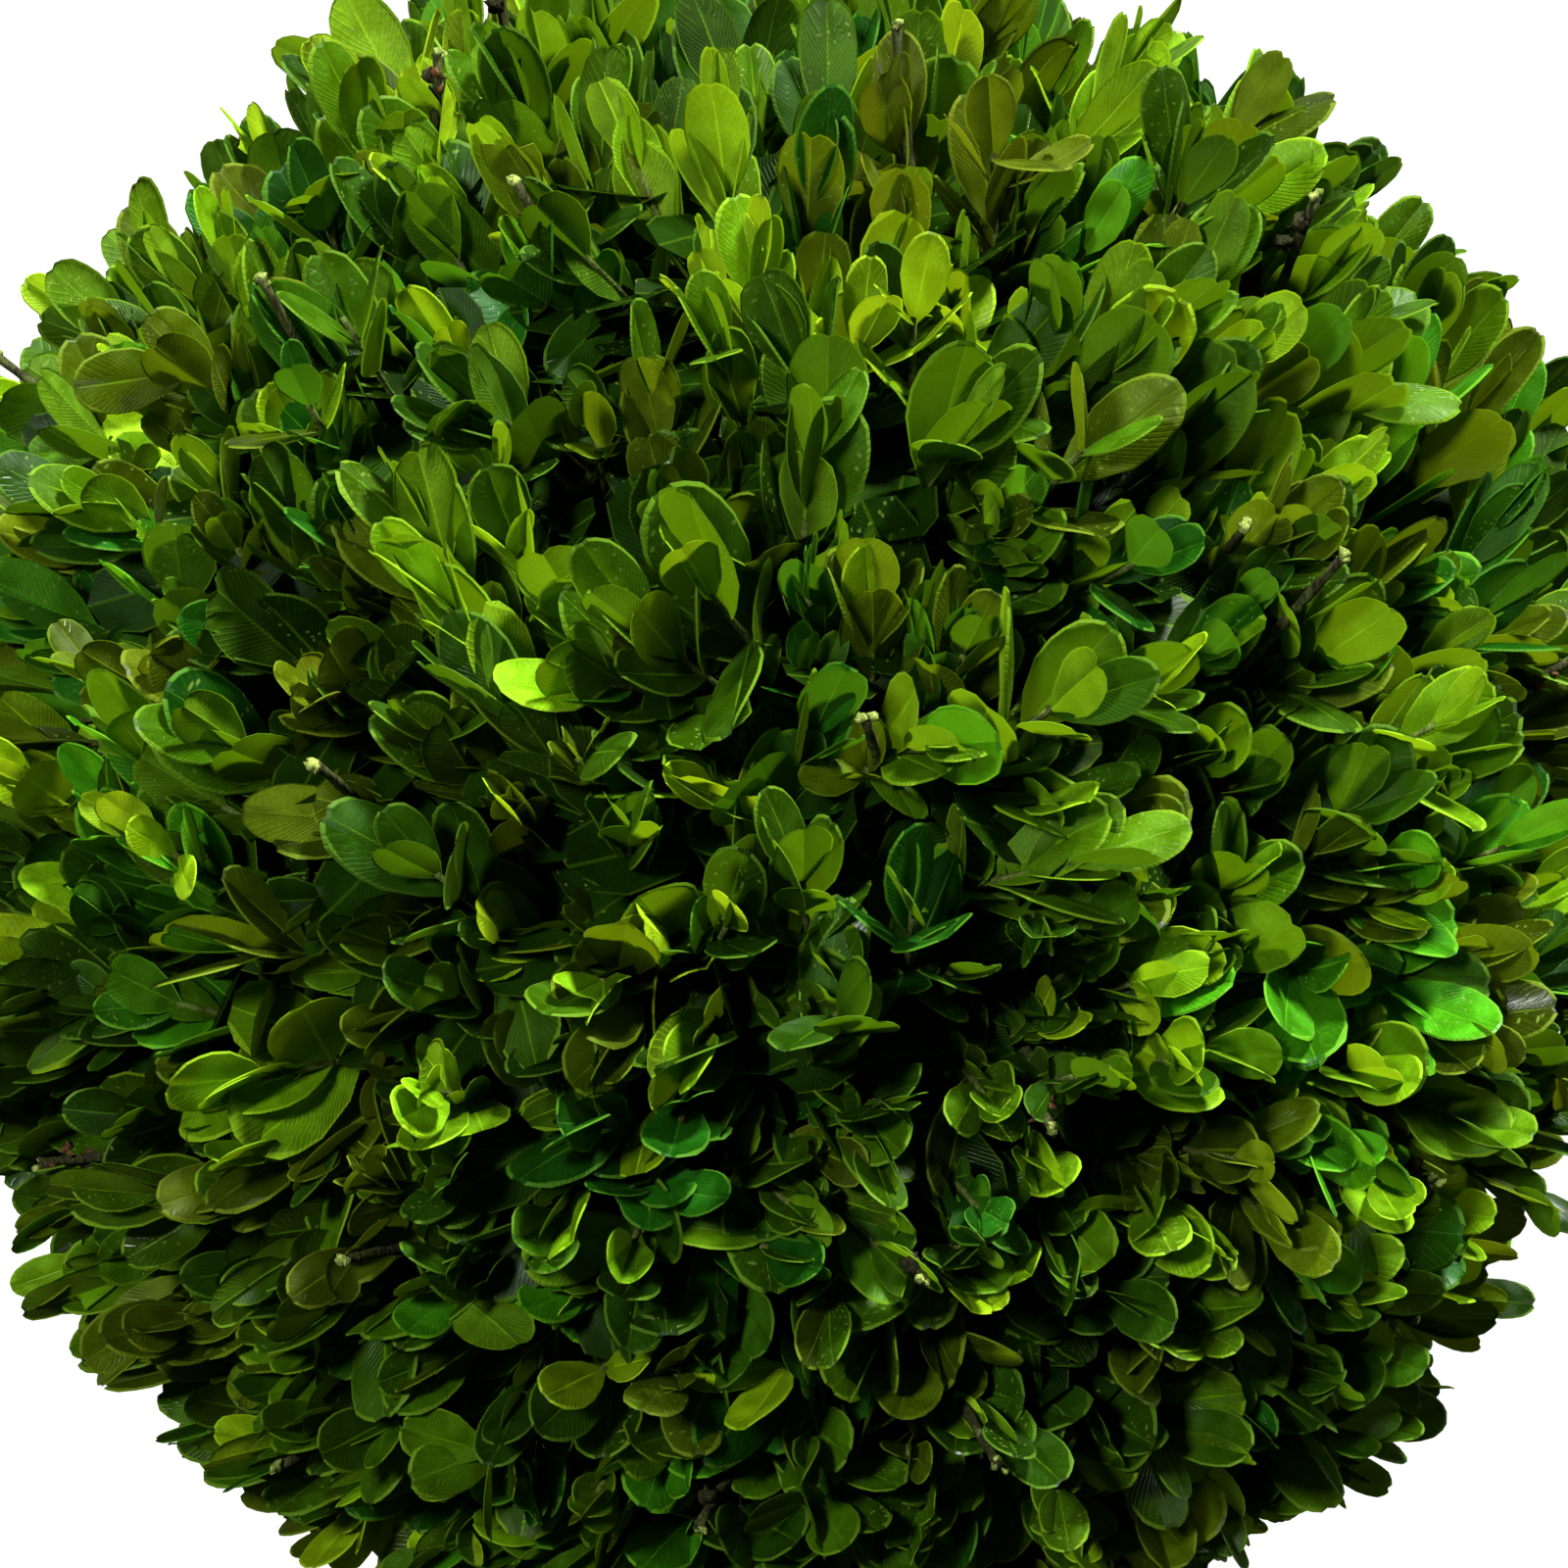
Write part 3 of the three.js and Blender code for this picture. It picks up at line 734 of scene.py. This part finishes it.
def bendTubes(name, sides, rings, runs):  # runs: the points of each twig with its radii
    bm = makeUnitTube(sides, rings)
    bmesh.ops.triangulate(bm, faces=bm.faces)
    unit, unitFaces = takeArrays(bm)
    ring = np.rint((unit[:, 2] + 0.5) * (rings - 1)).astype(int)
    points, faces = [], []
    for i, (path, radii) in enumerate(runs):
        frames = np.array(carriedFrames(path))
        spread = unit[:, :1] * frames[ring, 0] + unit[:, 1:2] * frames[ring, 1]
        points.append(np.array(path)[ring] + spread * np.array(radii)[ring, None])
        faces.append(unitFaces + i * len(unit))
    return meshFromArrays(name, np.concatenate(points), np.concatenate(faces))


def bend(start, startWay, end, endWay, steps):  # a smooth run between two points
    span = (end - start).length * 0.4
    a, b = start + startWay * span, end - endWay * span
    found = []
    for i in range(steps + 1):
        t = i / steps
        s = 1 - t
        found.append(start * s ** 3 + a * 3 * s * s * t + b * 3 * s * t * t + end * t ** 3)
    return found


def taper(radii, count, knots=0.0):
    low, high = radii
    return [(low + (high - low) * i / (count - 1)) * (1 + knots * (i % 2)) for i in range(count)]


def massStems():  # where each mass's stem takes over from its bough, and which way it points
    middle = (crown["topMassEdge"] + crown["bottomMassEdge"]) / 2
    sideTurn = 2 * math.pi / crown["sideBoughs"]
    ways = [directionOf((i + 0.5) * sideTurn - math.pi / 2, middle) for i in range(crown["sideBoughs"])]
    ways.append(Vector((0, 0, 1)))
    return [(pointOut(way, crown["hollowRadius"]) - way * crown["stemShown"], way) for way in ways]


def growTwigs(sprays, shoots):
    plan = twigPlan
    rng = np.random.default_rng(41)
    stems = massStems()
    branches, twigs, shootStems = [], [], []
    branchWays = evenDirections(plan["branches"], rng, 0.2)
    branchEnds = []
    for way in branchWays:
        end = pointOut(way, plan["branchReach"] - plan["branchSpread"] * rng.random())
        start, startWay = min(stems, key=lambda stem: (stem[0] - end).length)
        branchEnds.append(end)
        path = bend(start - startWay * 0.002, startWay, end, way, 8)
        branches.append((path, taper(plan["branchRadii"], 9)))
    branchArray = np.array(branchEnds)
    for spray in sprays:
        end = pointOut(spray["way"], plan["sprayReach"] - plan["spraySpread"] * rng.random())
        nearest = int(np.argmin(np.linalg.norm(branchArray - np.array(end), axis=1)))
        path = bend(branchEnds[nearest], branchWays[nearest], end, spray["way"], 6)
        spray["end"] = end
        twigs.append((path, taper(plan["sprayRadii"], 7, 0.12)))
    for shoot in shoots:
        spray = sprays[shoot["spray"]]
        path = bend(spray["end"], spray["way"], shoot["foot"], shoot["axis"], 3)
        path += [shoot["foot"].lerp(shoot["tip"], share) for share in (0.3, 0.6, 0.85, 1.03)]
        shootStems.append((path, taper(plan["shootRadii"], 8, 0.15)))
    found = []
    kinds = [("branches", 6, 9, branches), ("twigs", 5, 7, twigs), ("shoot_stems", 4, 8, shootStems)]
    for name, sides, rings, runs in kinds:
        clear = [run for run in runs if all(clearOfOthers(point) for point in run[0])]
        found.append(bendTubes(name, sides, rings, clear))
    return found


def growCutTwigs(lump, tuft):  # clipped twigs that end among the leaves, with what is left of their flowers
    plan = twigPlan
    rng = np.random.default_rng(61)
    runs, frays, capsules, husks = [], [], [], []
    for way in evenDirections(plan["cutTwigs"], rng, 0.5):
        axis = leaned(way, *rng.normal(0, 7, 2))
        tip = pointOut(way, crown["radius"] - rng.uniform(*plan["cutDepth"]))
        start = tip - axis * plan["cutLength"]
        if not (clearOfOthers(tip) and clearOfOthers(start)):
            continue
        path = bend(start, way, tip, axis, 9)
        runs.append((path, taper(plan["cutRadii"], 10, plan["knots"])))
        for _ in range(3):
            size = rng.uniform(*plan["fraySize"])
            spot = tip + Vector(rng.normal(0, 0.0005, 3))
            frays.append((0, np.array(spot), randomTurn(rng) * size, rng.uniform(0.7, 1.3)))
        if rng.random() < plan["husked"]:
            for _ in range(int(rng.integers(*plan["huskCount"]))):
                spot = tip - axis * rng.uniform(*plan["huskDepth"]) + Vector(rng.normal(0, 0.0018, 3))
                husks.append((0, np.array(spot), np.diag(plan["huskSize"]) @ randomTurn(rng), 1.0))
        if rng.random() < plan["seeded"]:
            side, other = squareTo(axis)
            for _ in range(int(rng.integers(*plan["capsuleCount"]))):
                turn = rng.random() * 2 * math.pi
                out = side * math.cos(turn) + other * math.sin(turn)
                spot = tip - axis * rng.uniform(*plan["capsuleDepth"]) + out * 0.0019
                axes = randomTurn(rng) * rng.uniform(*plan["capsuleSize"])
                capsules.append((0, np.array(spot), axes, 1.0))
    found = [bendTubes("cut_twigs", 6, 10, runs)]
    kinds = [("frayed_ends", tuft, frays), ("capsules", lump, capsules), ("husks", tuft, husks)]
    for name, shape, copies in kinds:
        found.append(joinCopies(name, [shape], copies))
    return found


def randomTurn(rng):
    return np.array(Matrix.Rotation(rng.random() * 2 * math.pi, 3, Vector(rng.normal(size=3)).normalized()))


def makeLump(subdivisions, seed, roughness, scale=1.6):
    bm = bmesh.new()
    bmesh.ops.create_icosphere(bm, subdivisions=subdivisions, radius=1.0)
    for vert in bm.verts:
        vert.co *= 1 + roughness * noise.noise(vert.co * scale + Vector((seed, 0, 0)))
    points, faces = takeArrays(bm)
    uvs = np.zeros((len(points), 2))
    return {"points": points, "faces": faces, "uvs": uvs, "creases": np.zeros(len(points), int)}


# Each bark: its dark and light colour, that of its ridges, the pattern's scale and detail, and its depth
barkPlans = {
    "bark": [(0.085, 0.065, 0.042), (0.190, 0.155, 0.110), (0.028, 0.021, 0.014), 110.0, 5.0, 0.0012],
    "twig_bark": [(0.026, 0.027, 0.009), (0.060, 0.072, 0.017), (0.010, 0.008, 0.004), 400.0, 1.0, 0.0003],
    "stem_skin": [(0.055, 0.070, 0.012), (0.085, 0.130, 0.020), (0.028, 0.024, 0.008), 600.0, 0.0, 0.0002],
    "seed_skin": [(0.014, 0.014, 0.005), (0.036, 0.034, 0.011), (0.007, 0.006, 0.003), 900.0, 1.0, 0.0003],
    "cut_ends": [(0.160, 0.220, 0.040), (0.360, 0.440, 0.100), (0.070, 0.070, 0.020), 900.0, 1.0, 0.0003],
    "husk_skin": [(0.060, 0.024, 0.010), (0.150, 0.068, 0.026), (0.020, 0.010, 0.005), 900.0, 1.0, 0.0003],
}


def makeBarkMarks():
    colours = {"Dark": (0.08, 0.06, 0.04), "Light": (0.19, 0.15, 0.11), "Ridge": (0.03, 0.02, 0.01)}
    tree, given, out = newGroup("barkMarks", colours, {"Scale": 100.0, "Detail": 2.0})
    place = objectPlace(tree)
    broad = noiseNode(tree, place, given["Scale"], given["Detail"], 0.62)
    stretched = addNode(tree, "ShaderNodeMapping", {"Vector": place, "Scale": (1.0, 1.0, 0.18)}).outputs[0]
    less = mathNode(tree, "SUBTRACT", given["Detail"], 1.0)
    finer = mathNode(tree, "MULTIPLY", given["Scale"], 5.0)
    ridges = noiseNode(tree, stretched, finer, mathNode(tree, "MAXIMUM", less, 0.0))
    colour = mixColour(tree, rangeNode(tree, broad, 0.35, 0.65), given["Dark"], given["Light"])
    colour = mixColour(tree, rangeNode(tree, ridges, 0.52, 0.70, 0.0, 0.75), colour, given["Ridge"])
    height = mathNode(tree, "MULTIPLY_ADD", broad, 0.6, ridges)
    giveOut(tree, out, colour, rangeNode(tree, ridges, 0.3, 0.7, 0.75, 0.95), height)
    return tree


def makeBarkMaterial(name, marks):
    *tints, scale, detail, depth = barkPlans[name]
    material, tree, out = newMaterial(name)
    inputs = dict(zip(("Dark", "Light", "Ridge"), map(rgba, tints)), Scale=scale, Detail=detail)
    found = addNode(tree, "ShaderNodeGroup", inputs, node_tree=marks).outputs
    principledNode(tree, out, {
        "Base Color": found["Colour"],
        "Roughness": found["Roughness"],
        "Normal": bumpNode(tree, found["Height"], depth, 0.9),
        "Specular IOR Level": 0.12,
    })
    return material


# Trunk and boughs with the bark's relief

limbPlan = {
    "trunkFoot": 0.015, "trunk": 0.010, "trunkTip": 0.008, "flareHeight": 0.016, "lean": 0.005,
    "bough": 0.006, "boughTip": 0.004, "lowestFork": 0.70, "forkStep": 0.055,
    "runOut": 0.030, "runUp": 0.015, "straightEnd": 0.022, "relief": 0.00045,
    "forkStart": 0.006,        # a bough starts this far out from the trunk's middle
    "leaderStraight": 0.012, "leaderBend": (-0.004, 0.005, 0), "leaderThinner": 0.0005,
}


def throughPoints(points, samples=240):  # a centripetal curve through the points, evenly stepped
    known = [np.array(point) for point in points]
    known = [2 * known[0] - known[1]] + known + [2 * known[-1] - known[-2]]
    found = []
    for i in range(1, len(known) - 2):
        p0, p1, p2, p3 = known[i - 1:i + 3]
        d0, d1, d2 = (math.sqrt(np.linalg.norm(b - a)) for a, b in ((p0, p1), (p1, p2), (p2, p3)))
        m1 = ((p1 - p0) / d0 - (p2 - p0) / (d0 + d1) + (p2 - p1) / d1) * d1
        m2 = ((p2 - p1) / d1 - (p3 - p1) / (d1 + d2) + (p3 - p2) / d2) * d1
        for t in np.arange(samples) / samples:
            start, end = (2 * t ** 3 - 3 * t ** 2 + 1) * p1, (3 * t ** 2 - 2 * t ** 3) * p2
            found.append(start + (t ** 3 - 2 * t ** 2 + t) * m1 + end + (t ** 3 - t ** 2) * m2)
    found.append(known[-2])
    found = np.array(found)
    steps = np.concatenate([[0], np.cumsum(np.linalg.norm(np.diff(found, axis=0), axis=1))])
    return lambda share: Vector([np.interp(share * steps[-1], steps, found[:, axis]) for axis in range(3)])


def makeLimb(name, pointAt, radiusAt, sides, rings, seed):
    bm = makeUnitTube(sides, rings)
    path = [pointAt(i / (rings - 1)) for i in range(rings)]
    frames = carriedFrames(path)
    for vert in bm.verts:
        ring = round((vert.co.z + 0.5) * (rings - 1))
        share = ring / (rings - 1)
        out = frames[ring][0] * vert.co.x + frames[ring][1] * vert.co.y
        here = path[ring]
        ridge = noise.noise(Vector((out.x * 3.2, out.y * 3.2, here.z * 60)) + Vector((seed, 0, 0)))
        knot = noise.noise(here * 90 + Vector((0, seed, 0)))
        ends = min(1.0, share * 30, (1 - share) * 30)
        relief = limbPlan["relief"] * ends * (0.9 * ridge + 0.8 * knot - 0.3)
        vert.co = here + out * (radiusAt(share) + relief)
    bmesh.ops.recalc_face_normals(bm, faces=bm.faces)
    return meshFromBmesh(name, bm)


def makeLimbs(bark):
    plan = limbPlan
    rise = trunkTop - soilTop
    trunkAt = throughPoints([
        (0, 0, soilTop + seat),
        (0, 0, soilTop + plan["flareHeight"]),
        (-plan["lean"] * 0.4, plan["lean"] * 0.2, soilTop + rise * 0.4),
        (plan["lean"] * 0.3, plan["lean"] * 0.3, soilTop + rise * 0.75),
        (plan["lean"], 0, trunkTop),
    ])

    def trunkRadius(share):
        flare = max(0.0, 1 - share * rise / plan["flareHeight"]) ** 2
        straight = plan["trunk"] + (plan["trunkTip"] - plan["trunk"]) * share
        return straight + flare * (plan["trunkFoot"] - plan["trunk"])

    addPiece("trunk_bark", makeLimb("trunk_bark", trunkAt, trunkRadius, 40, 70, 3), bark, "bark", "trunk")
    for index, (meet, way) in enumerate(massStems()):
        end = meet - way * seat
        if index < crown["sideBoughs"]:
            node = f"bough_side_{index + 1}"
            low = plan["bough"]
            fork = trunkAt(plan["lowestFork"] + plan["forkStep"] * ((index * 2) % crown["sideBoughs"]))
            outward = Vector((way.x, way.y, 0)).normalized()
            elbow = fork + outward * plan["runOut"] + Vector((0, 0, plan["runUp"]))
            points = [fork + outward * plan["forkStart"], elbow, end - way * plan["straightEnd"], end]
        else:
            node = "bough_leader"
            low = plan["trunkTip"] - plan["leaderThinner"]
            ahead = (trunkAt(1.0) - trunkAt(0.98)).normalized()
            first = trunkAt(1.0) + ahead * plan["leaderStraight"]
            middle = first.lerp(end, 0.5) + Vector(plan["leaderBend"])
            points = [trunkAt(1.0) + ahead * seat, first, middle, end - way * plan["straightEnd"], end]
        high = plan["boughTip"]
        path = throughPoints(points)
        mesh = makeLimb(node + "_bark", path, lambda share: low + (high - low) * share, 20, 44, 11 + index)
        addPiece(node + "_bark", mesh, bark, "bark", node)


# Pot and soil

potPlan = {
    "footRadius": 0.060, "topRadius": 0.079, "wall": 0.007, "floor": 0.010,
    "collarHeight": 0.026, "collarProud": 0.005, "corner": 0.0028, "turnSteps": 128,
    "profileStep": 0.004, "throwingDepth": 0.00013, "throwingRings": 900, "uneven": 0.00025,
    "footThinner": 0.001,      # the wall is this much thinner at the foot
}


def potInnerRadius(height):
    plan = potPlan
    share = (height - plan["floor"]) / (potTop - plan["floor"])
    low = plan["footRadius"] - plan["wall"] + plan["footThinner"]
    high = plan["topRadius"] - plan["wall"] + plan["collarProud"]
    return low + (high - low) * share


def spinProfile(profile, steps):
    bm = bmesh.new()
    verts = [bm.verts.new((x, 0, z)) for x, z in profile]
    edges = [bm.edges.new(pair) for pair in zip(verts, verts[1:])]
    turn = {"axis": (0, 0, 1), "cent": (0, 0, 0), "angle": 2 * math.pi, "steps": steps}
    bmesh.ops.spin(bm, geom=verts + edges, use_merge=True, **turn)
    bmesh.ops.remove_doubles(bm, verts=bm.verts, dist=1e-6)
    bmesh.ops.recalc_face_normals(bm, faces=bm.faces)
    return bm


def roundedCorners(corners, radius, cuts=4):  # softens each inner corner of a profile
    found = [corners[0]]
    for before, here, after in zip(corners, corners[1:], corners[2:]):
        a, b, c = Vector(before), Vector(here), Vector(after)
        cut = min(radius, (a - b).length * 0.45, (c - b).length * 0.45)
        start, end = b + (a - b).normalized() * cut, b + (c - b).normalized() * cut
        for i in range(cuts + 1):
            t = i / cuts
            found.append(tuple(start * (1 - t) ** 2 + b * 2 * t * (1 - t) + end * t * t))
    return found + [corners[-1]]


def makePotMesh():
    plan = potPlan
    collarBottom = potTop - plan["collarHeight"]
    collar = plan["topRadius"] + plan["collarProud"]
    under = plan["footRadius"] + (plan["topRadius"] - plan["footRadius"]) * collarBottom / potTop
    corners = roundedCorners([
        (0.0, 0.0), (plan["footRadius"], 0.0), (under, collarBottom), (collar, collarBottom + 0.0005),
        (collar + 0.001, potTop), (potInnerRadius(potTop), potTop),
        (potInnerRadius(plan["floor"]), plan["floor"]), (0.0, plan["floor"])], plan["corner"])
    profile = [corners[0]]
    for a, b in zip(corners, corners[1:]):  # short steps, so that the throwing rings can show
        pieces = max(1, round((Vector(b) - Vector(a)).length / plan["profileStep"]))
        profile += [tuple(Vector(a).lerp(Vector(b), (i + 1) / pieces)) for i in range(pieces)]
    bm = spinProfile(profile, plan["turnSteps"])
    for vert in bm.verts:
        out = math.hypot(vert.co.x, vert.co.y)
        if vert.co.z > 0.002 and out > 0.05:
            ring = plan["throwingDepth"] * math.sin(vert.co.z * plan["throwingRings"])
            ring += plan["uneven"] * noise.noise(vert.co * 28)
            vert.co.x *= 1 + ring / out
            vert.co.y *= 1 + ring / out
    return meshFromBmesh("pot_clay", bm)


clayColours = {
    "deep": (0.42, 0.155, 0.068),
    "light": (0.60, 0.26, 0.13),
    "grain": (0.30, 0.10, 0.05),
    "bloom": (0.72, 0.58, 0.48),
}


def makePotMaterial():
    material, tree, out = newMaterial("terracotta")
    tint = {name: rgba(colour) for name, colour in clayColours.items()}
    place = objectPlace(tree)
    height = addNode(tree, "ShaderNodeSeparateXYZ", {0: place}).outputs[2]
    cloud = noiseNode(tree, place, 18.0, 6.0, 0.6)
    grain = noiseNode(tree, place, 900.0, 2.0)
    pits = addNode(tree, "ShaderNodeTexVoronoi", {"Vector": place, "Scale": 260.0}).outputs["Distance"]
    clay = mixColour(tree, rangeNode(tree, cloud, 0.35, 0.68), tint["deep"], tint["light"])
    clay = mixColour(tree, rangeNode(tree, grain, 0.55, 0.75, 0.0, 0.35), clay, tint["grain"])
    lowBloom = rangeNode(tree, height, 0.0, 0.055, 0.30, 0.0)
    rimBloom = rangeNode(tree, height, 0.120, 0.150, 0.0, 0.22)
    bloom = mathNode(tree, "ADD", lowBloom, rimBloom)
    bloom = mathNode(tree, "MULTIPLY", rangeNode(tree, cloud, 0.42, 0.62), bloom)
    clay = mixColour(tree, bloom, clay, tint["bloom"])
    bumpHeight = mathNode(tree, "MULTIPLY_ADD", grain, 0.5, rangeNode(tree, pits, 0.0, 0.12, -0.8, 0.0))
    principledNode(tree, out, {
        "Base Color": clay,
        "Roughness": rangeNode(tree, cloud, 0.3, 0.7, 0.74, 0.92),
        "Normal": bumpNode(tree, bumpHeight, 0.00018, 0.8),
        "Specular IOR Level": 0.3,
    })
    return material


soilPlan = {
    "dish": 0.003, "rings": 46, "turnSteps": 110,
    "clods": 0.0012, "grains": 0.0009, "sunk": 0.0004,
    "crumbs": 1300, "crumbSize": (0.0010, 0.0034), "crumbsClear": (0.018, 0.004),  # of trunk and pot
}


def soilHeight(out):  # the bed's smooth surface
    edge = potInnerRadius(soilTop) - 2 * seat
    return soilTop - soilPlan["dish"] * min(1.0, out / edge) ** 2


def makeSoilMesh():
    plan = soilPlan
    rings = plan["rings"]
    edge = potInnerRadius(soilTop - plan["dish"]) - 2 * seat
    bottom = potPlan["floor"] + seat
    profile = [(0.0, bottom), (potInnerRadius(bottom) - 2 * seat, bottom)]
    profile += [(edge * (1 - i / rings), soilHeight(edge * (1 - i / rings))) for i in range(rings + 1)]
    bm = spinProfile(profile, plan["turnSteps"])
    for vert in bm.verts:
        out = math.hypot(vert.co.x, vert.co.y)
        if vert.co.z > 0.12 and limbPlan["trunkFoot"] + 0.002 < out < edge - 0.001:
            rough = plan["clods"] * noise.noise(vert.co * 120) + plan["grains"] * noise.noise(vert.co * 420)
            vert.co.z += rough - plan["sunk"]
    return meshFromBmesh("soil_bed", bm)


def makeCrumbs(name, lumps):
    rng = np.random.default_rng(57)
    inner, rim = soilPlan["crumbsClear"]
    edge = potInnerRadius(soilTop) - rim
    low, high = soilPlan["crumbSize"]
    copies = []
    for _ in range(soilPlan["crumbs"]):
        out = math.sqrt(rng.uniform(inner ** 2, edge ** 2))
        turn = rng.random() * 2 * math.pi
        size = low + (high - low) * rng.random() ** 3
        spot = (out * math.cos(turn), out * math.sin(turn), soilHeight(out) + size * 0.1 - soilPlan["sunk"])
        stretch = np.diag([size * 0.5, size * rng.uniform(0.4, 0.9), size * 0.32])
        copies.append((int(rng.integers(len(lumps))), np.array(spot), stretch @ randomTurn(rng), 1.0))
    return joinCopies(name, lumps, copies)


def makeSoilMaterial():
    material, tree, out = newMaterial("potting_soil")
    place = objectPlace(tree)
    clumps = noiseNode(tree, place, 160.0, 7.0, 0.7)
    chips = addNode(tree, "ShaderNodeTexVoronoi", {"Vector": place, "Scale": 420.0})
    chosen = addNode(tree, "ShaderNodeSeparateColor", {0: chips.outputs["Color"]}).outputs[0]
    dark, light, chip = rgba((0.012, 0.008, 0.005)), rgba((0.065, 0.040, 0.022)), rgba((0.17, 0.10, 0.05))
    earth = mixColour(tree, rangeNode(tree, clumps, 0.35, 0.68), dark, light)
    earth = mixColour(tree, rangeNode(tree, chosen, 0.84, 0.90, 0.0, 0.65), earth, chip)
    bump = bumpNode(tree, clumps, 0.0012, 0.9)
    finish = {"Base Color": earth, "Roughness": 0.95, "Normal": bump, "Specular IOR Level": 0.2}
    principledNode(tree, out, finish)
    return material


# Stage, light and camera

stagePlan = {
    "floorSize": 16.0,
    "floorColour": (0.36, 0.357, 0.35),
    "world": (1.0, 1.0, 0.98),
    "worldStrength": 0.018,
    "sun": {"from": (0.31, -0.14, 0.94), "strength": 9.9, "softness": 9},
    "lamps": [
        {"name": "rightWindow", "place": (1.8, 0.5, 0.40), "size": 1.0, "power": 9},
        {"name": "leftWindow", "place": (-1.7, 1.2, 0.8), "size": 1.2, "power": 2},
        {"name": "backSky", "place": (-0.3, 1.6, 1.7), "size": 1.4, "power": 3},
        {"name": "front", "place": (-0.75, -1.6, 1.25), "size": 0.30, "power": 36},
    ],
}
shot = {"distance": 1.0, "elevation": 17.5, "lens": 119.0, "aimRight": 0.0018, "aimUp": 0.0036}


def placeFacing(found, place, target):  # a lamp or the camera
    found.location = place
    found.rotation_euler = (target - found.location).to_track_quat("-Z", "Y").to_euler()


def addLight(name, kind, place):
    lamp = bpy.data.lights.new(name, kind)
    placeFacing(addObject(name, lamp), place, ballCentre)
    return lamp


def makeStage():
    bm = bmesh.new()
    bmesh.ops.create_grid(bm, x_segments=1, y_segments=1, size=stagePlan["floorSize"] / 2)
    floor = addObject("floor", meshFromBmesh("floor", bm))
    material, tree, out = newMaterial("floor_pale")
    principledNode(tree, out, {"Base Color": rgba(stagePlan["floorColour"]), "Roughness": 0.8})
    floor.data.materials.append(material)
    floor.visible_diffuse = False  # the floor throws no light back up into the crown's shade
    floor.visible_transmission = False
    floor.visible_glossy = False

    world = bpy.data.worlds.new("pale_room")
    world.use_nodes = True
    background = world.node_tree.nodes["Background"]
    background.inputs["Color"].default_value = rgba(stagePlan["world"])
    background.inputs["Strength"].default_value = stagePlan["worldStrength"]
    bpy.context.scene.world = world

    sunPlan = stagePlan["sun"]
    sun = addLight("sun", "SUN", ballCentre + Vector(sunPlan["from"]) * 2)
    sun.energy = sunPlan["strength"]
    sun.angle = math.radians(sunPlan["softness"])
    for lampPlan in stagePlan["lamps"]:
        lamp = addLight(lampPlan["name"], "AREA", lampPlan["place"])
        lamp.shape = "DISK"
        lamp.size = lampPlan["size"]
        lamp.energy = lampPlan["power"]


def makeCamera():
    lens = bpy.data.cameras.new("camera")
    lens.lens = shot["lens"]
    lens.sensor_width = 36
    lens.clip_start = 0.02
    camera = addObject("camera", lens)
    lift = math.radians(shot["elevation"])
    place = ballCentre + Vector((0, -math.cos(lift), math.sin(lift))) * shot["distance"]
    placeFacing(camera, place, ballCentre + Vector((shot["aimRight"], 0, shot["aimUp"])))
    bpy.context.scene.camera = camera


makeStage()
makeCamera()
bpy.context.scene.view_settings.view_transform = "Standard"
print("floor, lights and camera")

sprays, shoots = growShoots()
leafMarks = makeLeafMarks()
innerRows, innerColumns = bladePlan["innerRows"], bladePlan["innerColumns"]
fineShapes = [makeLeafShape(shape, bladePlan["rows"], bladePlan["columns"], True) for shape in leafShapes]
innerShapes = [makeLeafShape(shape, innerRows, innerColumns, False) for shape in leafShapes]
fineLeaves, innerLeaves = growLeaves(shoots)
print("crown of", len(sprays), "sprays and", len(shoots), "shoots")
for name, tints in leafTints.items():
    finish = makeLeafMaterial(name, *tints[:2], leafMarks)
    addPiece(name, joinCopies(name, fineShapes, fineLeaves[name]), finish, "foliage", *massNodes)
    innerName = name.replace("leaves", "inner")
    addPiece(innerName, joinCopies(innerName, innerShapes, innerLeaves[name]), finish, "foliage", *massNodes)
    print(name, len(fineLeaves[name]), "and", len(innerLeaves[name]), "leaves")

oldShape = makeLeafShape(leafShapes[0], bladePlan["oldRows"], bladePlan["oldColumns"], False)
oldFinish = makeLeafMaterial("leaves_old_shaded", *oldLeafPlan["tints"], leafMarks, oldLeafPlan["sheen"])
addPiece("leaves_old_shaded", growOldLeaves(oldShape), oldFinish, "foliage", *massNodes)
print("old inner leaves")

barkMarks = makeBarkMarks()
barks = {name: makeBarkMaterial(name, barkMarks) for name in barkPlans}
for mesh, skin in zip(growTwigs(sprays, shoots), ("twig_bark", "twig_bark", "stem_skin")):
    addPiece(mesh.name, mesh, barks[skin], "bark", *massNodes)
cutTwigs = growCutTwigs(makeLump(2, 5.0, 0.9, 2.4), makeLump(1, 9.0, 1.6, 3.0))
for mesh, skin in zip(cutTwigs, ("twig_bark", "cut_ends", "seed_skin", "husk_skin")):
    addPiece(mesh.name, mesh, barks[skin], "bark", *massNodes)
print("twigs, cut twigs and capsules")

makeLimbs(barks["bark"])
print("trunk and boughs")
addPiece("pot_clay", makePotMesh(), makePotMaterial(), "pot", "pot")
soilFinish = makeSoilMaterial()
addPiece("soil_bed", makeSoilMesh(), soilFinish, "soil", "soil")
lumps = [makeLump(1, seed, 0.5) for seed in range(4)]
addPiece("soil_crumbs", makeCrumbs("soil_crumbs", lumps), soilFinish, "soil")
print("pot and soil")
